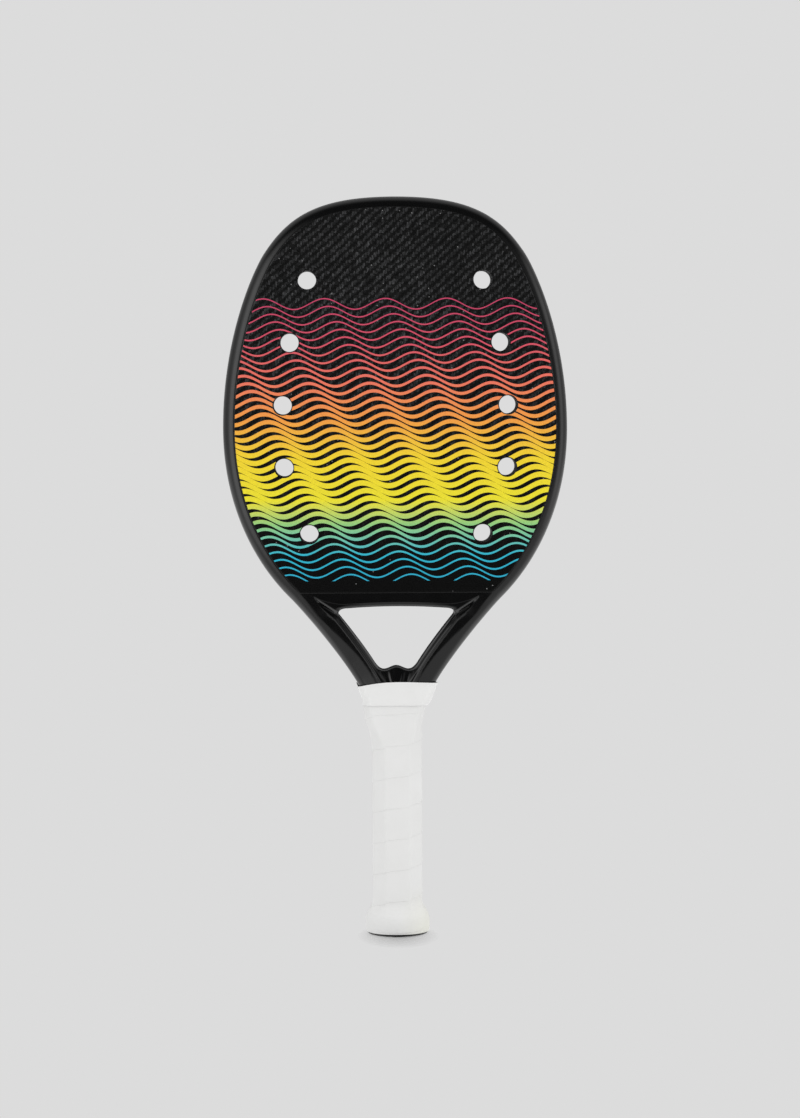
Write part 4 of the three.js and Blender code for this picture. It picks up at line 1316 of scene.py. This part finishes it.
def make_tape():
    table = RingTable(lambda z: float(at_height(TAPE_ROWS, z)))
    low, _ = (corner.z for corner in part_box("finishing_tape"))
    shares = np.linspace(0, 1, 26)
    outer, inner = [], []
    for share in shares:
        outer_row, inner_row = [], []
        for i in range(SIDES):
            x0, y0 = table.point(i, GRIP_LENGTH)
            z = lerp(low, tape_top(x0, y0), share)
            x, y = hug(*table.point(i, z), z)
            edge = min(share, 1 - share)
            lap = TAPE_LAP if y < 0 and x > TAPE_SEAM_X else 0.0
            thin = TAPE_EDGE_THIN * max(0.0, 1 - edge / TAPE_EDGE_SHARE) ** 2
            grow = lap - thin + TAPE_CRUMPLE_SHARE * crumple(x, y, z)
            outer_row.append((*outwards(x, y, grow), z))
            inner_row.append((*outwards(x, y, -TAPE_SHELL), z))
        outer.append(outer_row)
        inner.append(inner_row)
    shell = closed_sleeve(outer, inner[::-1])
    shell.build("finish_band", TAPE, "finish_tape", "finishing_tape", sharp=60)


make_tape()


# Butt lid

def make_lid():
    shell = Shell()
    rings = []
    for turn in np.radians(np.linspace(0, 90, 6)):
        proud = LID_PROUD - LID_EDGE_ROUND * (1 - math.sin(turn))
        z = LID_EDGE_ROUND * (1 - math.cos(turn))
        rings.append(at_z(grip_ring(LID_RING_HEIGHT, proud), z))
    rings.append(at_z(grip_ring(LID_RING_HEIGHT, LID_PROUD), LID_THICKNESS - LID_TOP_ROUND))
    rings.append(at_z(grip_ring(LID_RING_HEIGHT, LID_PROUD - LID_TOP_ROUND), LID_THICKNESS))
    shell.rows(rings, closed=True)
    circle = ring_of(CORD_HOLE_RADIUS, CORD_HOLE_SIDES)
    for z, ring in ((0.0, rings[0]), (LID_THICKNESS, rings[-1])):
        points = [(x, y) for x, y, _ in ring]
        start = len(shell.points)
        shell.fill([points, circle], lambda x, z: 0)
        shell.points[start:] = [(x, y, z) for x, _, y in shell.points[start:]]
    shell.rows([at_z(circle, z) for z in (0.0, LID_THICKNESS)], closed=True)
    shell.build("butt_lid", LID, "lid_plastic", "butt_cap_lid", sharp=40)


make_lid()


# Finishes of the pieces kept from the frame

KEPT_LOOKS = {
    "bridge_foam": FOAM, "leg_foam_right": FOAM, "leg_foam_left": FOAM,
    "pallet_front": PALLET, "pallet_rear": PALLET, "butt_cap": PALLET,
    "base_grip_tape": END_TAPE,
}
for node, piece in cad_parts.items():
    look = WIRE if "staple" in node else KEPT_LOOKS.get(node)
    if look:
        piece.data.materials.clear()
        piece.data.materials.append(look)


# Room, lights and camera

def studio_gloss(room):
    """How bright the studio looks in gloss: dark ends in -Y and +Y, a pale ground, and two soft boxes."""
    x, y, z = room.x, room.y, room.z
    off_end = room.ease(room.math("ABSOLUTE", y), 0.978, 0.905)
    ground = room.blend(off_end, DARK_TONE, GROUND_TONE)
    ground = room.blend(room.ease(y, -0.5, -0.05), ground, REAR_GROUND_TONE)
    ground = room.blend(room.ease(z, -0.6, -0.85), ground, STEEP_GROUND_TONE)
    walls = room.blend(room.product(room.ease(y, -0.45, 0.15), off_end), DARK_TONE, WALL_TONE)
    base = room.blend(room.ease(z, -0.02, -0.25), walls, ground)
    left = room.ease(x, -0.18, -0.60, 0, LEFT_BOX_TONE)
    left = room.product(left, room.ease(x, -0.72, -0.96, 1, 0.35))
    near, far = RIGHT_BOX_TONES
    right = room.product(room.ease(x, 0.66, 0.86, 0, far), room.ease(x, 0.93, 0.985, 1, 0.5))
    right = room.math("ADD", room.ease(x, 0.2, 0.5, 0, near), right)
    band = room.product(room.ease(z, -0.6, -0.25), room.ease(z, 0.25, 0.65, 1, 0))
    band = room.product(band, room.ease(y, -0.15, 0.15, 1, 0))
    return room.math("MAXIMUM", base, room.product(band, room.math("ADD", left, right)))


def make_world():
    """A plain pale room, which gloss sees as a studio and the camera as the backdrop."""
    world = bpy.data.worlds.new("room")
    scene.world = world
    world.use_nodes = True
    room = Nodes(world.node_tree, "Generated")
    kind = "ShaderNodeBackground"
    tent = room.fed(kind, {0: grey(ROOM_TONE)})
    gloss = room.fed(kind, {0: grey(1), 1: studio_gloss(room)})
    seen = room.fed(kind, {0: grey(BACKDROP_TONE)})
    path = room.add("ShaderNodeLightPath")
    shader = tent.outputs[0]
    for ray, other in (("Is Glossy Ray", gloss), ("Is Camera Ray", seen)):
        inputs = {0: path.outputs[ray], 1: shader, 2: other.outputs[0]}
        shader = room.fed("ShaderNodeMixShader", inputs).outputs[0]
    room.fed("ShaderNodeOutputWorld", {0: shader})


def make_floor():
    """A pale floor that takes the racket's shadow, and round a point before the butt is darker than the
    backdrop, a painted shadow that fades into it.
    """
    mesh = bpy.data.meshes.new("floor")
    ring = ring_of(FLOOR_RADIUS, FLOOR_SIDES)
    mesh.from_pydata(at_z(ring, -FLOOR_GAP), [], [range(FLOOR_SIDES)])
    floor = add_object("floor", mesh)
    look = Look("floor")
    # The floor's darker tone, fading out round a point before the butt, is a painted shadow
    diffuse = look.fed("ShaderNodeBsdfDiffuse", {0: grey(FLOOR_SHADOW_TONE)})
    clear = look.add("ShaderNodeBsdfTransparent")
    across = look.math("MULTIPLY", look.x, SHADOW_PATCH_ACROSS_SHARE)
    deep = look.math("SUBTRACT", look.y, SHADOW_PATCH_CENTRE)
    far = look.math("SQRT", look.math("ADD", look.product(across, across), look.product(deep, deep)))
    fade = look.remap(far, *SHADOW_PATCH_FADE_ROWS)
    choose = look.fed("ShaderNodeMixShader", {0: fade, 1: diffuse.outputs[0], 2: clear.outputs[0]})
    look.fed("ShaderNodeOutputMaterial", {0: choose.outputs[0]})
    mesh.materials.append(look.material)


def soft_lamp(name, place, size, power):
    data = bpy.data.lights.new(name, "AREA")
    data.shape = "RECTANGLE"
    data.size, data.size_y = size
    data.energy = power
    lamp = add_object(name, data)
    lamp.location = place
    lamp.rotation_euler = (LAMP_AIM - Vector(place)).to_track_quat("-Z", "Y").to_euler()
    lamp.visible_glossy = False


def make_camera():
    data = bpy.data.cameras.new("camera")
    camera = add_object("camera", data)
    x = CAMERA_AIM.x - CAMERA_DISTANCE * math.sin(CAMERA_AZIMUTH)
    y = -CAMERA_DISTANCE * math.cos(CAMERA_AZIMUTH)
    camera.location = (x, y, CAMERA_HEIGHT)
    way = CAMERA_AIM - camera.location
    turn = way.to_track_quat("-Z", "Y") @ Quaternion((0, 0, 1), CAMERA_ROLL)
    camera.rotation_euler = turn.to_euler()
    data.sensor_width = 36
    data.lens = data.sensor_width / 2 / (IMAGE_HALF_HEIGHT / way.length)
    data.clip_end = 20
    scene.camera = camera


make_world()
make_floor()
for lamp in LAMPS:
    soft_lamp(*lamp)
make_camera()

scene.view_settings.view_transform = "Standard"
